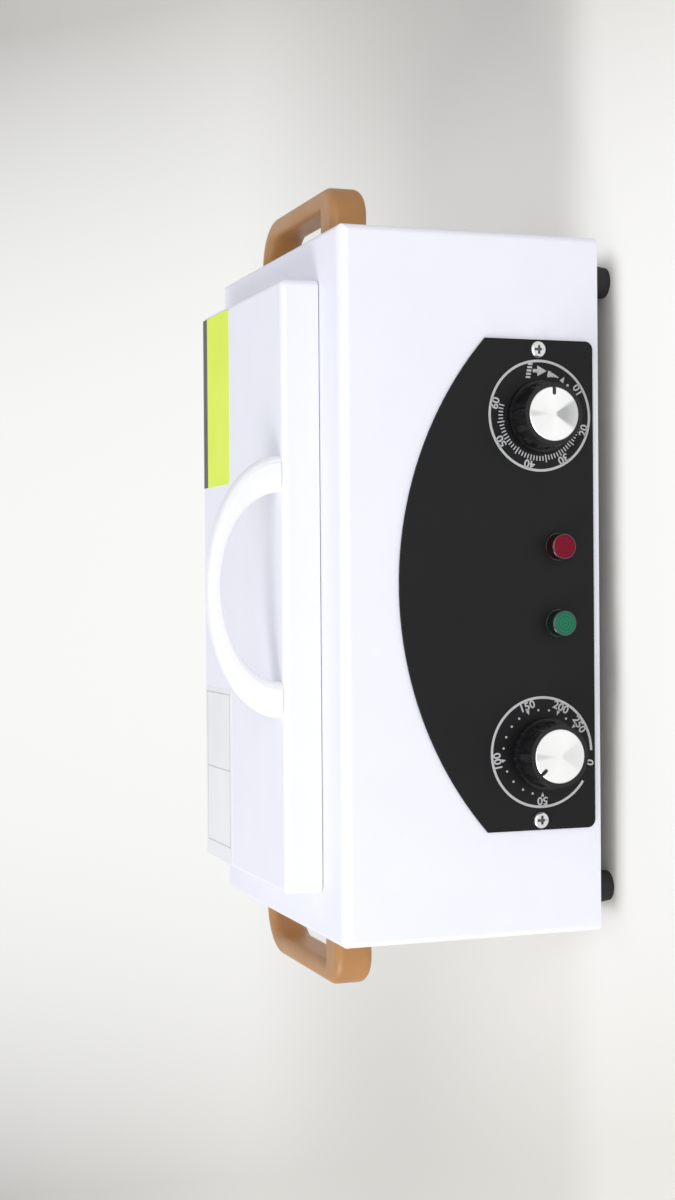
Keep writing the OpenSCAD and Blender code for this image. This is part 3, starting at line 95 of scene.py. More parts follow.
def less(tree, a, b):
    return math_node(tree, "SUBTRACT", a, b)


def distance(tree, a, b):
    """Length of the hypotenuse over a and b."""
    return math_node(tree, "SQRT", math_node(tree, "ADD", product(tree, a, a), product(tree, b, b)))


def own_place(tree):
    """Coordinates of the piece itself, which it takes along when it moves."""
    return add(tree, "ShaderNodeTexCoord").outputs["Object"]


def split_xyz(tree, vector):
    node = add(tree, "ShaderNodeSeparateXYZ")
    tree.links.new(vector, node.inputs[0])
    return node.outputs


def scaled(tree, vector, factors):
    node = add(tree, "ShaderNodeVectorMath", operation="MULTIPLY")
    node.inputs[1].default_value = factors
    tree.links.new(vector, node.inputs[0])
    return node.outputs[0]


def noise(tree, vector, scale, detail, rough):
    node = add(tree, "ShaderNodeTexNoise")
    node.inputs["Detail"].default_value = detail
    node.inputs["Roughness"].default_value = rough
    if isinstance(scale, (int, float)):
        node.inputs["Scale"].default_value = scale
    else:
        tree.links.new(scale, node.inputs["Scale"])
    tree.links.new(vector, node.inputs["Vector"])
    return node.outputs["Fac"]


def noise_mm(tree, vector, size, detail, rough):
    """Noise whose blobs are about as large as the socket size says, in millimetres."""
    return noise(tree, vector, math_node(tree, "DIVIDE", PER_METRE, size), detail, rough)


def span(tree, value, low, high, out_low=0.0, out_high=1.0, **settings):
    """Value from low to high, spread over out_low to out_high and held there beyond."""
    node = add(tree, "ShaderNodeMapRange", clamp=True, **settings)
    tree.links.new(value, node.inputs["Value"])
    for name, number in (("From Min", low), ("From Max", high), ("To Min", out_low), ("To Max", out_high)):
        node.inputs[name].default_value = number
    return node.outputs["Result"]


def smooth(tree, value, low, high):
    """Share that rises softly from 0 at low to 1 at high."""
    return span(tree, value, low, high, interpolation_type="SMOOTHSTEP")


def grain_group():
    """Fine even grain with slow patches: orange peel, moulded skin, rubber bloom."""
    tree, given, result = new_group("surface_grain", {"Size": 1.0, "Patch Size": 40.0}, ("Height", "Patches"))
    place = own_place(tree)
    patches = noise_mm(tree, place, given["Patch Size"], 3.0, 0.55)
    tree.links.new(noise_mm(tree, place, given["Size"], 2.0, 0.45), result["Height"])
    tree.links.new(span(tree, patches, NOISE_LOW, NOISE_HIGH), result["Patches"])
    return tree


def brushed_group():
    """Long fine scratches along X, as a belt leaves them on sheet steel."""
    tree, given, result = new_group("brushed_lines", {"Line Size": 0.3}, ("Height", "Patches"))
    place = own_place(tree)
    lines = noise_mm(tree, scaled(tree, place, (0.02, 1.0, 1.0)), given["Line Size"], 3.0, 0.6)
    tree.links.new(lines, result["Height"])
    tree.links.new(span(tree, noise(tree, place, 30.0, 3.0, 0.5), NOISE_LOW, NOISE_HIGH), result["Patches"])
    return tree


def rings_group():
    """Turned rings round an axis that runs front to rear through the given centre."""
    tree, given, result = new_group(
        "turned_rings", {"Centre": (0.0, 0.0, 0.0), "Pitch": 0.3}, ("Height", "Radius", "Turn"))
    away = add(tree, "ShaderNodeVectorMath", operation="SUBTRACT")
    tree.links.new(own_place(tree), away.inputs[0])
    tree.links.new(given["Centre"], away.inputs[1])
    flat = scaled(tree, away.outputs[0], (1.0, 0.0, 1.0))
    length = add(tree, "ShaderNodeVectorMath", operation="LENGTH")
    tree.links.new(flat, length.inputs[0])
    radius = product(tree, length.outputs["Value"], PER_METRE)
    turns = product(tree, math_node(tree, "DIVIDE", radius, given["Pitch"]), math.tau)
    off = split_xyz(tree, flat)
    angle = math_node(tree, "ARCTAN2", off["X"], off["Z"])
    tree.links.new(span(tree, math_node(tree, "SINE", turns), -1.0, 1.0), result["Height"])
    tree.links.new(radius, result["Radius"])
    tree.links.new(math_node(tree, "DEGREES", math_node(tree, "ABSOLUTE", angle)), result["Turn"])
    return tree


def dust_group():
    """Thin dust that lies on faces that look up."""
    tree, given, result = new_group("settled_dust", {"Amount": 0.2}, ("Mask",))
    up = span(tree, split_xyz(tree, add(tree, "ShaderNodeNewGeometry").outputs["Normal"])["Z"], 0.5, 1.0)
    cloud = span(tree, noise(tree, own_place(tree), 60.0, 4.0, 0.6), 0.35, 0.75)
    tree.links.new(product(tree, product(tree, up, cloud), given["Amount"]), result["Mask"])
    return tree


def fibre_group():
    """Tangled fibres of mineral wool."""
    tree, given, result = new_group("wool_fibres", {"Fibre Size": 1.0}, ("Height", "Tone"))
    place = own_place(tree)
    strands = noise_mm(tree, scaled(tree, place, (0.25, 1.0, 0.6)), given["Fibre Size"], 6.0, 0.75)
    tree.links.new(strands, result["Height"])
    tree.links.new(span(tree, noise(tree, place, 90.0, 4.0, 0.6), NOISE_LOW, NOISE_HIGH), result["Tone"])
    return tree


GRAIN = grain_group()
BRUSHED = brushed_group()
RINGS = rings_group()
DUST = dust_group()
FIBRES = fibre_group()


# Finishes
def shader(name, colour, rough, metal=0.0, **constants):
    """New material with its Principled shader and its constant sockets set."""
    material = bpy.data.materials.new(name)
    material.use_nodes = True
    tree = material.node_tree
    principled = tree.nodes["Principled BSDF"]
    principled.inputs["Base Color"].default_value = colour
    principled.inputs["Roughness"].default_value = rough
    principled.inputs["Metallic"].default_value = metal
    for label, value in constants.items():
        principled.inputs[label.replace("_", " ")].default_value = value
    return material, tree, principled


def place_group(tree, group, **values):
    node = add(tree, "ShaderNodeGroup", node_tree=group)
    for label, value in values.items():
        node.inputs[label.replace("_", " ")].default_value = value
    return node


def mix_colour(tree, factor, a, b):
    node = add(tree, "ShaderNodeMix", data_type="RGBA")
    tree.links.new(factor, node.inputs[0])
    for socket, value in ((node.inputs[6], a), (node.inputs[7], b)):
        if isinstance(value, tuple):
            socket.default_value = value
        else:
            tree.links.new(value, socket)
    return node.outputs[2]


def bump(tree, principled, height, depth_mm):
    node = add(tree, "ShaderNodeBump")
    node.inputs["Strength"].default_value = 1.0
    node.inputs["Distance"].default_value = depth_mm * MM
    tree.links.new(height, node.inputs["Height"])
    tree.links.new(node.outputs["Normal"], principled.inputs["Normal"])


PATCH_MM = 38.0
DUST_COLOUR = linear(214, 210, 204)


def coated(name, colour, other, rough, peel_mm, depth_mm, dust=0.0, **constants):
    """Coat, moulded plastic or rubber: grain in the height, patches in colour and roughness."""
    material, tree, principled = shader(name, colour, rough, **constants)
    grain = place_group(tree, GRAIN, Size=peel_mm, Patch_Size=PATCH_MM)
    toned = mix_colour(tree, grain.outputs["Patches"], colour, other)
    if dust:
        film = place_group(tree, DUST, Amount=dust)
        toned = mix_colour(tree, film.outputs["Mask"], toned, DUST_COLOUR)
    tree.links.new(toned, principled.inputs["Base Color"])
    tree.links.new(span(tree, grain.outputs["Patches"], 0.0, 1.0, rough * 0.9, rough * 1.12),
                   principled.inputs["Roughness"])
    bump(tree, principled, grain.outputs["Height"], depth_mm)
    return material


def brushed_metal(name, colour, other, rough, line_mm, depth_mm, **constants):
    """Rolled or brushed metal: scratches along the sheet, cloudy roughness."""
    material, tree, principled = shader(name, colour, rough, 1.0, **constants)
    lines = place_group(tree, BRUSHED, Line_Size=line_mm)
    tree.links.new(mix_colour(tree, lines.outputs["Patches"], colour, other), principled.inputs["Base Color"])
    tree.links.new(span(tree, lines.outputs["Height"], NOISE_LOW, NOISE_HIGH, rough * 0.8, rough * 1.3),
                   principled.inputs["Roughness"])
    bump(tree, principled, lines.outputs["Height"], depth_mm)
    return material


def node_centre(node):
    low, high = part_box(node)
    return (Vector(low) + Vector(high)) / 2


# The caps' painted reflections, a grey wedge below and a grey streak above: angles from the top in degrees, radii
# in millimetres
REFLECTION_WEDGE_TURN, REFLECTION_WEDGE_START, REFLECTION_WEDGE_FADE = (140.0, 151.0), (0.5, 2.0), (6.0, 12.5)
REFLECTION_STREAK_TURN, REFLECTION_STREAK_REACH, REFLECTION_STREAK_TONE = (3.0, 11.0), (2.0, 9.0), 0.4
CAP_PITCH, CAP_DEPTH, CAP_ROUGH = 0.34, 0.006, (0.24, 0.38)


def spun_cap_finish(node, reflection_wedge_tone):
    """Turned aluminium face: fine rings, with a painted reflection as a soft grey wedge below and a thin grey
    streak above.
    """
    bright, reflection_grey = linear(252, 252, 253), linear(176, 177, 180)
    material, tree, principled = shader("spun_" + node, bright, 0.3, 1.0, Anisotropic=0.6)
    rings = place_group(tree, RINGS, Centre=tuple(node_centre(node)), Pitch=CAP_PITCH)
    turn, radius = rings.outputs["Turn"], rings.outputs["Radius"]
    # Painted reflection: a grey wedge below the middle and a grey streak above, mixed into the bright base colour
    reflection_wedge = product(tree, span(tree, turn, *REFLECTION_WEDGE_TURN), span(tree, radius, *REFLECTION_WEDGE_START))
    reflection_wedge = product(tree, reflection_wedge, span(tree, radius, *REFLECTION_WEDGE_FADE, reflection_wedge_tone, 0.6 * reflection_wedge_tone))
    reflection_streak = product(tree, span(tree, turn, *REFLECTION_STREAK_TURN, 1.0, 0.0),
                     span(tree, radius, *REFLECTION_STREAK_REACH, 0.0, REFLECTION_STREAK_TONE))
    painted_reflection = math_node(tree, "MAXIMUM", reflection_wedge, reflection_streak)
    tree.links.new(mix_colour(tree, painted_reflection, bright, reflection_grey), principled.inputs["Base Color"])
    tree.links.new(span(tree, rings.outputs["Height"], 0.0, 1.0, *CAP_ROUGH), principled.inputs["Roughness"])
    tangent = add(tree, "ShaderNodeTangent", direction_type="RADIAL", axis="Y")
    tree.links.new(tangent.outputs[0], principled.inputs["Tangent"])
    bump(tree, principled, rings.outputs["Height"], CAP_DEPTH)
    return material


LENS_PITCH, LENS_DEPTH, LENS_SHADED_WALL, LENS_GLOSS = 1.5, 0.05, (5.4, 6.0), (0.12, 0.9)


def lens_finish(node, colour, deep, wall_shade):
    """Tinted clear plastic with faint moulded rings and a wall darkened by painted shade, which shines."""
    material, tree, principled = shader("lens_" + node, colour, 0.2, IOR=1.49)
    rings = place_group(tree, RINGS, Centre=tuple(node_centre(node)), Pitch=LENS_PITCH)
    face = mix_colour(tree, rings.outputs["Height"], colour, deep)
    # Painted shade: beyond the given radius the lens wall is mixed to a dark colour
    side = span(tree, rings.outputs["Radius"], *LENS_SHADED_WALL)
    tree.links.new(mix_colour(tree, side, face, wall_shade), principled.inputs["Base Color"])
    tree.links.new(span(tree, side, 0.0, 1.0, *LENS_GLOSS), principled.inputs["Specular IOR Level"])
    bump(tree, principled, rings.outputs["Height"], LENS_DEPTH)
    return material


def recessed_finish(node, deep_mm, reach_mm):
    """Bright plated screw heads with painted shade inside their cross recess."""
    bright, recess_shade = linear(226, 226, 228), linear(96, 96, 98)
    material, tree, principled = shader("plated_" + node, bright, 0.24, 1.0)
    low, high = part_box(node)
    place = split_xyz(tree, own_place(tree))
    # Painted shade: darker colour deep in the cross recess, near the middle of each head
    past = product(tree, less(tree, place["Y"], low[1]), PER_METRE)
    off_x = less(tree, math_node(tree, "ABSOLUTE", place["X"]), high[0] - reach_mm * MM)
    off_z = less(tree, place["Z"], (low[2] + high[2]) / 2)
    near = span(tree, distance(tree, off_x, off_z), 0.5 * reach_mm * MM, 0.62 * reach_mm * MM, 1.0, 0.0)
    recess_shade_mask = product(tree, span(tree, past, deep_mm, deep_mm + 0.15), near)
    tree.links.new(mix_colour(tree, recess_shade_mask, bright, recess_shade), principled.inputs["Base Color"])
    lines = place_group(tree, BRUSHED, Line_Size=0.4)
    tree.links.new(span(tree, lines.outputs["Height"], NOISE_LOW, NOISE_HIGH, 0.2, 0.32),
                   principled.inputs["Roughness"])
    bump(tree, principled, lines.outputs["Height"], 0.004)
    return material


def wool_finish():
    colour, other = linear(205, 192, 158), linear(178, 162, 124)
    material, tree, principled = shader("mineral_wool", colour, 0.95)
    fibres = place_group(tree, FIBRES, Fibre_Size=1.2)
    tree.links.new(mix_colour(tree, fibres.outputs["Tone"], colour, other), principled.inputs["Base Color"])
    bump(tree, principled, fibres.outputs["Height"], 0.9)
    return material


FINISHES = {
    "powder_coat": coated("powder_coat", linear(241, 241, 250), linear(238, 239, 249), 0.42, 1.5, 0.035,
                          dust=0.05, Coat_Weight=0.12, Coat_Roughness=0.3),
    "white_plastic": coated("white_plastic", linear(246, 246, 250), linear(243, 243, 248), 0.3, 0.5, 0.008,
                            Coat_Weight=0.25, Coat_Roughness=0.15),
    "plate_black": coated("plate_black", linear(21, 21, 23), linear(25, 25, 27), 0.5, 0.45, 0.012, dust=0.02,
                          Specular_IOR_Level=0.2),
    "knob_black": coated("knob_black", linear(14, 14, 16), linear(20, 20, 22), 0.28, 0.35, 0.006,
                         Specular_IOR_Level=0.4),
    "control_case": coated("control_case", linear(52, 52, 55), linear(60, 60, 62), 0.55, 0.6, 0.02),
    "black_plastic": coated("black_plastic", linear(28, 28, 30), linear(36, 36, 38), 0.45, 0.4, 0.015),
    "tan_plastic": coated("tan_plastic", linear(181, 131, 75), linear(169, 119, 68), 0.4, 0.6, 0.02,
                          dust=0.04, Coat_Weight=0.1, Coat_Roughness=0.3),
    "foot_rubber": coated("foot_rubber", linear(28, 28, 30), linear(42, 41, 42), 0.75, 0.6, 0.05, dust=0.2),
    "seal_silicone": coated("seal_silicone", linear(158, 72, 54), linear(140, 60, 46), 0.5, 0.8, 0.02,
                            Subsurface_Weight=0.15, Subsurface_Scale=0.002),
    "ceramic": coated("ceramic", linear(232, 226, 212), linear(220, 212, 196), 0.6, 0.7, 0.03),
    "yellow_film": coated("yellow_film", linear(228, 249, 54), linear(222, 244, 42), 0.4, 2.2, 0.01),
    "white_film": coated("white_film", linear(240, 240, 240), linear(235, 235, 236), 0.4, 2.2, 0.01),
    "zinc_sheet": brushed_metal("zinc_sheet", linear(196, 198, 202), linear(176, 180, 186), 0.42, 0.8, 0.012),
    "plated_steel": brushed_metal("plated_steel", linear(214, 214, 214), linear(200, 200, 202), 0.26, 0.4, 0.004),
    "stainless": brushed_metal("stainless", linear(212, 211, 208), linear(198, 197, 194), 0.28, 0.3, 0.006),
    "brass": brushed_metal("brass", linear(212, 178, 104), linear(190, 152, 84), 0.3, 0.4, 0.005),
    "copper_tube": brushed_metal("copper_tube", linear(208, 142, 108), linear(182, 116, 86), 0.32, 0.4, 0.005),
    "element_sheath": brushed_metal("element_sheath", linear(112, 104, 98), linear(86, 82, 88), 0.48, 0.6, 0.01),
    "mineral_wool": wool_finish(),
    # The last colour of each lens is its painted wall shade
    "green_lens": lens_finish("green_lamp_lens", linear(42, 118, 90), linear(34, 102, 78), linear(8, 30, 22)),
    "red_lens": lens_finish("red_lamp_lens", linear(126, 16, 42), linear(112, 12, 36), linear(34, 4, 10)),
}

slot_of = {part["node"]: part["material_slot"] for part in frame["record"]["subparts"]}


def paint(obj, material):
    obj.data.materials.clear()
    obj.data.materials.append(material)


# Strength of the painted grey reflection wedge on each cap
CAP_REFLECTION_WEDGE = {"temperature_knob_cap": 0.22, "timer_knob_cap": 0.9}
for name, obj in frame["nodes"].items():
    if slot_of[name] == "spun_aluminium":
        paint(obj, spun_cap_finish(name, CAP_REFLECTION_WEDGE[name]))
    elif name == "control_plate_screws":
        paint(obj, recessed_finish(name, 0.35, 4.0))
    else:
        paint(obj, FINISHES[slot_of[name]])


# Places taken from the frame, in millimetres
def edges_mm(node):
    low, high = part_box(node)
    return Vector(low) / MM, Vector(high) / MM


PLATE_FACE_Y = edges_mm("control_plate")[0].y
knob_low, knob_high = edges_mm("timer_knob")
KNOB_X = (knob_low.x + knob_high.x) / 2
KNOB_Z = (knob_low.z + knob_high.z) / 2
PRINT_T = 0.05
PRINT_SINK = 0.02
PRINT_SHIFT = 0.5
RING_R, RING_LINE = 27.5, 1.25
NUMBER_H = 4.0
DIGIT_BOLD, DIGIT_WIDE = 0.02, 1.08
MARK_R, MARK_LEN, MARK_W = 20.8, 2.2, 1.8
DOT_R = 0.58


# White print on the control plate
class Print:
    """Thin raised print on the plate's face: flat shapes given in (right, up) millimetres."""

    def __init__(self, name, x, z):
        self.name, self.x, self.z = name, x + PRINT_SHIFT, z
        self.bm = bmesh.new()

    def corner(self, right, up, y):
        return self.bm.verts.new(((self.x + right) * MM, y * MM, (self.z + up) * MM))

    def shape(self, points):
        """Closed flat shape, points anticlockwise as seen from the front."""
        front = [self.corner(r, u, PLATE_FACE_Y - PRINT_T) for r, u in points]
        back = [self.corner(r, u, PLATE_FACE_Y + PRINT_SINK) for r, u in points]
        self.bm.faces.new(front)
        self.bm.faces.new(back[::-1])
        count = len(points)
        for i in range(count):
            j = (i + 1) % count
            self.bm.faces.new((front[j], front[i], back[i], back[j]))

    def polar(self, radius, angle):
        turn = math.radians(angle)
        return (radius * math.sin(turn), radius * math.cos(turn))

    def ring(self, inner, outer, start, end, steps=120):
        """Band of a ring between two angles, clockwise from the top."""
        full = abs(end - start) >= 360
        count = steps if full else steps + 1
        loops = []
        for y in (PLATE_FACE_Y - PRINT_T, PLATE_FACE_Y + PRINT_SINK):
            for radius in (inner, outer):
                loops.append([self.corner(*self.polar(radius, start + (end - start) * i / steps), y)
                              for i in range(count)])
        front_in, front_out, back_in, back_out = loops
        for i in range(steps):
            j = (i + 1) % count
            self.bm.faces.new((front_in[j], front_out[j], front_out[i], front_in[i]))
            self.bm.faces.new((back_in[i], back_out[i], back_out[j], back_in[j]))
            self.bm.faces.new((front_out[i], front_out[j], back_out[j], back_out[i]))
            self.bm.faces.new((front_in[j], front_in[i], back_in[i], back_in[j]))
        if not full:
            for i in (0, steps):
                self.bm.faces.new((front_in[i], front_out[i], back_out[i], back_in[i]))

    def dot(self, radius, angle, size, sides=20):
        cx, cz = self.polar(radius, angle)
        self.shape([(cx + size * math.cos(math.tau * i / sides), cz + size * math.sin(math.tau * i / sides))
                    for i in range(sides)])

    def tick(self, inner, outer, angle, width):
        out, side = Vector(self.polar(1.0, angle)), Vector(self.polar(0.5 * width, angle + 90))
        self.shape([tuple(out * r + side * s) for r, s in ((inner, -1), (inner, 1), (outer, 1), (outer, -1))])

    def pointer_mark(self, inner, outer, angle, width):
        """Small triangle that points to the middle."""
        out, side = Vector(self.polar(1.0, angle)), Vector(self.polar(0.5 * width, angle + 90))
        self.shape([tuple(out * inner), tuple(out * outer + side), tuple(out * outer - side)])

    def number(self, text, radius, angle, height, inward=False):
        """Bold digits whose tops point away from the middle, or towards it."""
        curve = bpy.data.curves.new("digits", "FONT")
        curve.body = text
        curve.align_x = "CENTER"
        curve.extrude = 0.5
        curve.offset = DIGIT_BOLD
        holder = bpy.data.objects.new("digits", curve)
        scene.collection.objects.link(holder)
        bpy.context.view_layer.update()
        shaped = holder.evaluated_get(bpy.context.evaluated_depsgraph_get())
        digits = bpy.data.meshes.new_from_object(shaped)
        bpy.data.objects.remove(holder)
        tops = [v.co.y for v in digits.vertices]
        scale = height / (max(tops) - min(tops))
        middle = (max(tops) + min(tops)) / 2
        turn = math.radians(angle)
        right, up = Vector((math.cos(turn), -math.sin(turn))), Vector((math.sin(turn), math.cos(turn)))
        side = -1.0 if inward else 1.0
        for v in digits.vertices:
            flat = right * v.co.x * scale * side * DIGIT_WIDE + up * (radius + (v.co.y - middle) * scale * side)
            deep = PLATE_FACE_Y - PRINT_T if v.co.z > 0 else PLATE_FACE_Y + PRINT_SINK
            v.co = ((self.x + flat.x) * MM, deep * MM, (self.z + flat.y) * MM)
        self.bm.from_mesh(digits)
        bpy.data.meshes.remove(digits)

    def make(self, material, body):
        bmesh.ops.recalc_face_normals(self.bm, faces=self.bm.faces)
        return finish_piece(self.name, self.bm, material, body)


def finish_piece(name, bm, material, body):
    mesh = bpy.data.meshes.new(name)
    bm.to_mesh(mesh)
    bm.free()
    obj = bpy.data.objects.new(name, mesh)
    scene.collection.objects.link(obj)
    mesh.materials.append(material)
    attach(obj, body)
    return obj


PRINT_WHITE = coated("print_white", linear(196, 196, 198), linear(184, 184, 187), 0.5, 0.3, 0.004)
LABEL_GREY = coated("label_grey", linear(78, 80, 82), linear(70, 72, 74), 0.45, 0.8, 0.006)
LABEL_LINE = coated("label_line", linear(198, 198, 200), linear(188, 188, 190), 0.5, 0.8, 0.004)

temperature_print = Print("temperature_scale", -KNOB_X, KNOB_Z)
temperature_print.ring(RING_R - RING_LINE, RING_R, -146, 180)
for text, angle, radius in (("50", 269.5, 24.1), ("100", 350.8, 24.1), ("150", 70.8, 24.1),
                            ("200", 115.5, 24.2), ("250", 147.5, 24.3), ("0", 193.0, 26.9)):
    temperature_print.number(text, radius, angle, NUMBER_H)
for angle in (269.5, 350.5, 69.5, 114.5, 145.0):
    temperature_print.pointer_mark(MARK_R - MARK_LEN / 2, MARK_R + MARK_LEN / 2, angle, MARK_W)
for angle in (284.5, 300, 318, 335, 7, 22.5, 38.8, 54, 85, 100.8, 129.3):
    temperature_print.dot(MARK_R, angle, DOT_R)
temperature_print.make(PRINT_WHITE, "casing_body")

timer_print = Print("timer_scale", KNOB_X, KNOB_Z)
timer_print.ring(RING_R - RING_LINE, RING_R, 0, 360)
TIMER_ANGLES = (("10", 148.0), ("20", 196.0), ("30", 239.0), ("40", 283.5), ("50", 328.0), ("60", 373.2))
for text, angle in TIMER_ANGLES:
    timer_print.number(text, 24.6, angle, NUMBER_H, inward=90 < angle < 225)
TICK_IN, TICK_OUT, TICK_W = 19.8, 22.2, 0.6
for (_, start), (_, end) in zip(TIMER_ANGLES[1:], TIMER_ANGLES[2:]):
    for i in range(10):
        reach = {0: 0.3, 5: 0.9}.get(i, 0.0)
        timer_print.tick(TICK_IN - 0.6 * reach, TICK_OUT + reach, start + (end - start) * i / 10, TICK_W)
timer_print.tick(TICK_IN - 0.3, TICK_OUT + 0.3, TIMER_ANGLES[-1][1], TICK_W)

# Rest mark of the timer: short strokes, an arrow clockwise and a band that grows thin
STROKE_W, STROKE_H, STROKE_PITCH = 0.95, 2.5, 1.62
for i in range(5):
    right, up = 18.3 + i * STROKE_PITCH, 6.2 - 0.3 * i
    timer_print.shape([(right, up - STROKE_H / 2), (right + STROKE_W, up - STROKE_H / 2),
                       (right + STROKE_W, up + STROKE_H / 2), (right, up + STROKE_H / 2)])
ARROW_RIGHT, ARROW_STEM, ARROW_HEAD = 22.0, 0.8, 2.6
STEM_LOW, STEM_HIGH, HEAD_TIP, HEAD_TOP = 1.3, 3.6, -3.9, 1.2
timer_print.shape([(ARROW_RIGHT - ARROW_STEM, STEM_LOW), (ARROW_RIGHT + ARROW_STEM, STEM_LOW),
                   (ARROW_RIGHT + ARROW_STEM, STEM_HIGH), (ARROW_RIGHT - ARROW_STEM, STEM_HIGH)])
timer_print.shape([(ARROW_RIGHT, HEAD_TIP), (ARROW_RIGHT + ARROW_HEAD, HEAD_TOP),
                   (ARROW_RIGHT - ARROW_HEAD, HEAD_TOP)])
for inner, outer, start, end in ((19.6, 22.7, 102.0, 106.0), (20.2, 22.3, 106.0, 110.5), (20.8, 22.0, 110.5, 115.0),
                                 (21.2, 21.8, 115.0, 118.5)):
    timer_print.ring(inner, outer, start, end, steps=3)
timer_print.shape([timer_print.polar(*place) for place in ((23.7, 125.0), (20.7, 128.4), (20.7, 121.6))])
timer_print.dot(21.6, 135.0, 0.7)
timer_print.make(PRINT_WHITE, "casing_body")


# Bare printed fields on the lid's two labels
def label_fields(name, node, fields, material):
    """Thin rectangles on a label, each (left, right, front, rear) in shares of its width and depth."""
    low, high = edges_mm(node)
    bm = bmesh.new()
    for left, right, front, rear in fields:
        x = [low.x + share * (high.x - low.x) for share in (left, right)]
        y = [low.y + share * (high.y - low.y) for share in (front, rear)]
        z = [high.z - PRINT_SINK, high.z + PRINT_T]
        v = [bm.verts.new((cx * MM, cy * MM, cz * MM)) for cz in z for cy in y for cx in x]
        for face in ((0, 2, 3, 1), (4, 5, 7, 6), (0, 1, 5, 4), (1, 3, 7, 5), (3, 2, 6, 7), (2, 0, 4, 6)):
            bm.faces.new([v[i] for i in face])
    return finish_piece(name, bm, material, "lid_body")


HEADER_FRONT = 0.845
label_fields("yellow_label_header", "yellow_label", [(0.0, 1.0, HEADER_FRONT, 1.0)], LABEL_GREY)
COLUMNS, COLUMN_LINE, COLUMN_ENDS = (0.09, 0.53, 0.97), 0.006, (0.06, 0.94)
ROWS, ROW_LINE, ROW_ENDS = (0.06, 0.93), 0.012, (0.09, 0.976)
frame_lines = [(left, left + COLUMN_LINE, *COLUMN_ENDS) for left in COLUMNS]
frame_lines += [(*ROW_ENDS, front, front + ROW_LINE) for front in ROWS]
label_fields("white_label_frames", "white_label", frame_lines, LABEL_LINE)


# Painted light and shade on the floor: places in metres, right and to the rear of the object's middle
GLOW_SHIFT, GLOW_LEAN, GLOW_SPREAD, GLOW_REACH, GLOW_TOP = 0.02, 0.035, 0.285, 0.330, 0.90
GLOW_LEAST, GLOW_FALL = 0.05, 3.0
FOOT_X, FOOT_Y, FOOT_BLEND = 0.155, 0.083, 0.017
BESIDE_FRONT, BESIDE_REAR, BESIDE_SHADOW_DEPTH, BESIDE_TILT = (-0.078, -0.018), (0.18, 0.60), 0.70, -0.35
SHADE_START, SHADE_END, SHADE_DEPTH, SHADE_TILT = (0.19, 0.35), (0.5, 1.0), 0.165, 0.10


def beside_band(tree, y):
    """Share of the band of floor that runs left and right of the object, where painted shadow lies."""
    rear = less(tree, 1.0, smooth(tree, y, *BESIDE_REAR))
    return product(tree, smooth(tree, y, *BESIDE_FRONT), rear)


def side_shade(tree, x, y):
    """Painted soft shadow on the sweep to the far left and right of the object."""
    aside = math_node(tree, "ABSOLUTE", x)
    near = smooth(tree, aside, *SHADE_START)
    far = less(tree, 1.0, smooth(tree, aside, *SHADE_END))
    share = product(tree, product(tree, near, far), beside_band(tree, y))
    return product(tree, share, math_node(tree, "ADD", SHADE_DEPTH, product(tree, x, SHADE_TILT)))


def seen_directly(tree):
    """1 where a ray comes from the camera, a reflection or clear plastic, and 0 where it only brings light."""
    rays = add(tree, "ShaderNodeLightPath").outputs
    seen = math_node(tree, "MAXIMUM", rays["Is Camera Ray"], rays["Is Glossy Ray"])
    return math_node(tree, "MAXIMUM", seen, rays["Is Transmission Ray"])


def beyond(tree, value, limit):
    """How far a place lies outside the object's foot, on either side."""
    return math_node(tree, "MAXIMUM", less(tree, math_node(tree, "ABSOLUTE", value), limit), 0.0)


def sweep_glow(tree, x, y):
    """Share of plain white on the sweep, a painted pool of light: most in front and behind, less beside the object
    where it leaves painted shadow, none at its foot so that the lamps' shadow stays.
    """
    centre = less(tree, GLOW_SHIFT, product(tree, y, GLOW_LEAN))
    aside = math_node(tree, "ABSOLUTE", less(tree, x, centre))
    reach = math_node(tree, "ADD", product(tree, y, GLOW_SPREAD), GLOW_REACH)
    share = math_node(tree, "DIVIDE", aside, math_node(tree, "MAXIMUM", reach, GLOW_LEAST))
    fall = math_node(tree, "SUBTRACT", 1.0, math_node(tree, "POWER", share, GLOW_FALL), clamp=True)
    away = distance(tree, beyond(tree, x, FOOT_X), beyond(tree, y, FOOT_Y))
    glow = product(tree, product(tree, fall, GLOW_TOP), smooth(tree, away, 0.0, FOOT_BLEND))
    # Painted shadow beside the object: the white share drops there
    beside_shadow = math_node(tree, "ADD", BESIDE_SHADOW_DEPTH, product(tree, x, BESIDE_TILT))
    return product(tree, glow, less(tree, 1.0, product(tree, beside_band(tree, y), beside_shadow)))


# Floor, lamps and camera
FLOOR_HALF = 20.0
floor_mesh = bpy.data.meshes.new("floor")
bm = bmesh.new()
bmesh.ops.create_grid(bm, x_segments=1, y_segments=1, size=FLOOR_HALF)
bm.to_mesh(floor_mesh)
bm.free()
floor = bpy.data.objects.new("floor", floor_mesh)
scene.collection.objects.link(floor)
floor_finish, floor_tree, floor_shader = shader("floor", linear(229, 226, 218), 0.9)
cloud = place_group(floor_tree, GRAIN, Size=6.0, Patch_Size=900.0)
floor_place = split_xyz(floor_tree, own_place(floor_tree))
floor_x, floor_y = floor_place["X"], floor_place["Y"]
floor_tone = mix_colour(floor_tree, cloud.outputs["Patches"], linear(231, 228, 220), linear(227, 224, 216))
# The floor's base colour is mixed towards black by the painted side shadow
floor_tree.links.new(mix_colour(floor_tree, side_shade(floor_tree, floor_x, floor_y), floor_tone, linear(0, 0, 0)),
                     floor_shader.inputs["Base Color"])
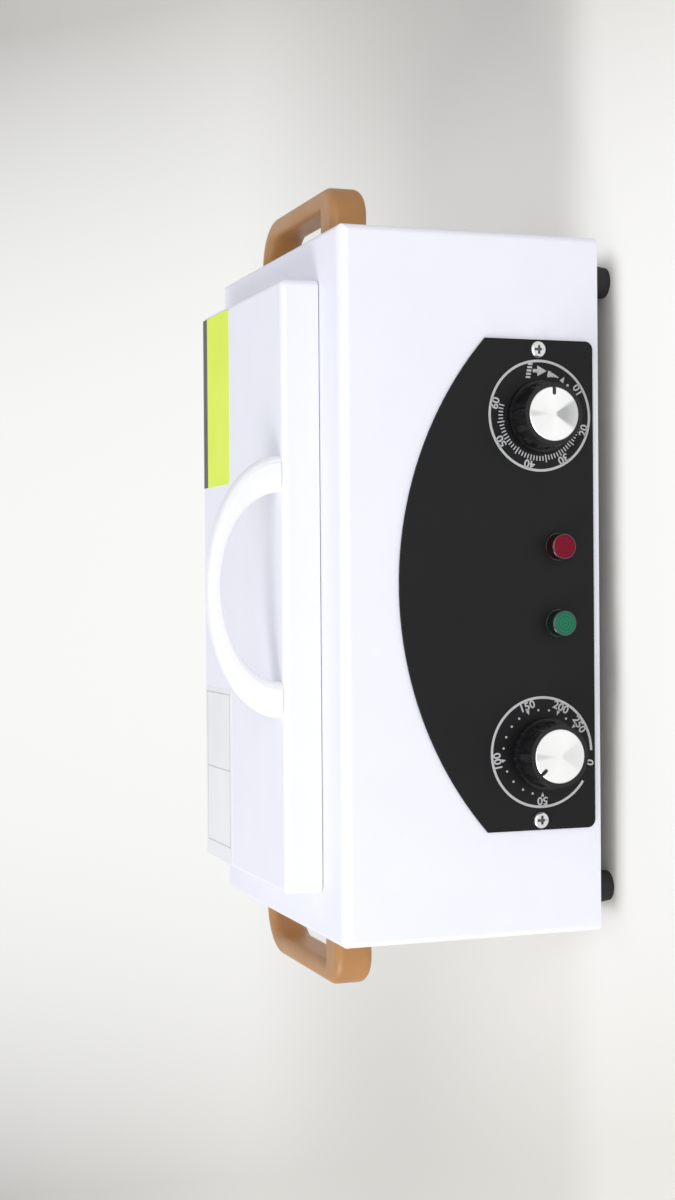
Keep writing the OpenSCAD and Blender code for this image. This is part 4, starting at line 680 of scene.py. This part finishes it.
# Painted light: white emission seen by camera rays and reflections, shaped by sweep_glow
glow = add(floor_tree, "ShaderNodeEmission")
glow.inputs["Color"].default_value = linear(253, 253, 252)
blend = add(floor_tree, "ShaderNodeMixShader")
floor_glow = product(floor_tree, sweep_glow(floor_tree, floor_x, floor_y), seen_directly(floor_tree))
floor_tree.links.new(floor_glow, blend.inputs[0])
floor_tree.links.new(floor_shader.outputs[0], blend.inputs[1])
floor_tree.links.new(glow.outputs[0], blend.inputs[2])
floor_tree.links.new(blend.outputs[0], floor_tree.nodes["Material Output"].inputs["Surface"])
floor_mesh.materials.append(floor_finish)

SKY_COLOUR, SKY_STRENGTH = (0.93, 0.95, 1.0, 1.0), 0.635
world = bpy.data.worlds.new("studio")
scene.world = world
world.use_nodes = True
sky_tree = world.node_tree
sky_tree.nodes["Background"].inputs["Color"].default_value = SKY_COLOUR
sky_tree.nodes["Background"].inputs["Strength"].default_value = SKY_STRENGTH
pale_wall = add(sky_tree, "ShaderNodeBackground")
pale_wall.inputs["Color"].default_value = linear(233, 233, 231)
pale_wall.inputs["Strength"].default_value = 1.0
wall_mix = add(sky_tree, "ShaderNodeMixShader")
sky_tree.links.new(seen_directly(sky_tree), wall_mix.inputs[0])
sky_tree.links.new(sky_tree.nodes["Background"].outputs[0], wall_mix.inputs[1])
sky_tree.links.new(pale_wall.outputs[0], wall_mix.inputs[2])
sky_tree.links.new(wall_mix.outputs[0], sky_tree.nodes["World Output"].inputs["Surface"])


def soft_lamp(name, place, aim, size, power):
    """Square white lamp: place, aim and size in metres, power in watts."""
    data = bpy.data.lights.new(name, "AREA")
    data.shape = "SQUARE"
    data.size = size
    data.energy = power
    lamp = bpy.data.objects.new(name, data)
    lamp.location = place
    lamp.rotation_mode = "QUATERNION"
    lamp.rotation_quaternion = (Vector(aim) - Vector(place)).to_track_quat("-Z", "Y")
    scene.collection.objects.link(lamp)


soft_lamp("key", (-1.55, -0.78, 1.38), (0.0, 0.0, 0.1), 1.0, 21.5)
soft_lamp("fill", (0.2, -1.7, 0.9), (0.0, 0.0, 0.1), 1.2, 7.0)
soft_lamp("low", (0.1, -1.5, 0.22), (0.0, 0.0, 0.05), 0.9, 1.1)
soft_lamp("glint", (-0.05, -0.62, 1.45), (0.0, -0.05, 0.05), 0.3, 0.8)

# Camera solved from the photograph, where the object lies on its side
FOCAL_PX, LONG_SIDE_PX = 1868.0, 1200.0
CAMERA_PLACE = Vector((0.5, -923.6, 442.0)) * MM
PITCH, ROLL, YAW = math.radians(19.37), math.radians(-0.59), math.radians(0.47)
across = Vector((math.cos(YAW), math.sin(YAW), 0.0))
ahead = Vector((-math.sin(YAW), math.cos(YAW), 0.0))
forward = ahead * math.cos(PITCH) - Vector((0.0, 0.0, math.sin(PITCH)))
upward = ahead * math.sin(PITCH) + Vector((0.0, 0.0, math.cos(PITCH)))
photo_up = across * math.cos(ROLL) + upward * math.sin(ROLL)
photo_left = -across * math.sin(ROLL) + upward * math.cos(ROLL)
camera_data = bpy.data.cameras.new("camera")
camera_data.sensor_width = 36.0
camera_data.lens = FOCAL_PX / LONG_SIDE_PX * camera_data.sensor_width
camera_data.clip_start = 0.01
camera_data.clip_end = 50.0
camera = bpy.data.objects.new("camera", camera_data)
turned = Matrix((-photo_left, photo_up, -forward)).transposed().to_4x4()
camera.matrix_world = Matrix.Translation(CAMERA_PLACE) @ turned
scene.collection.objects.link(camera)
scene.camera = camera
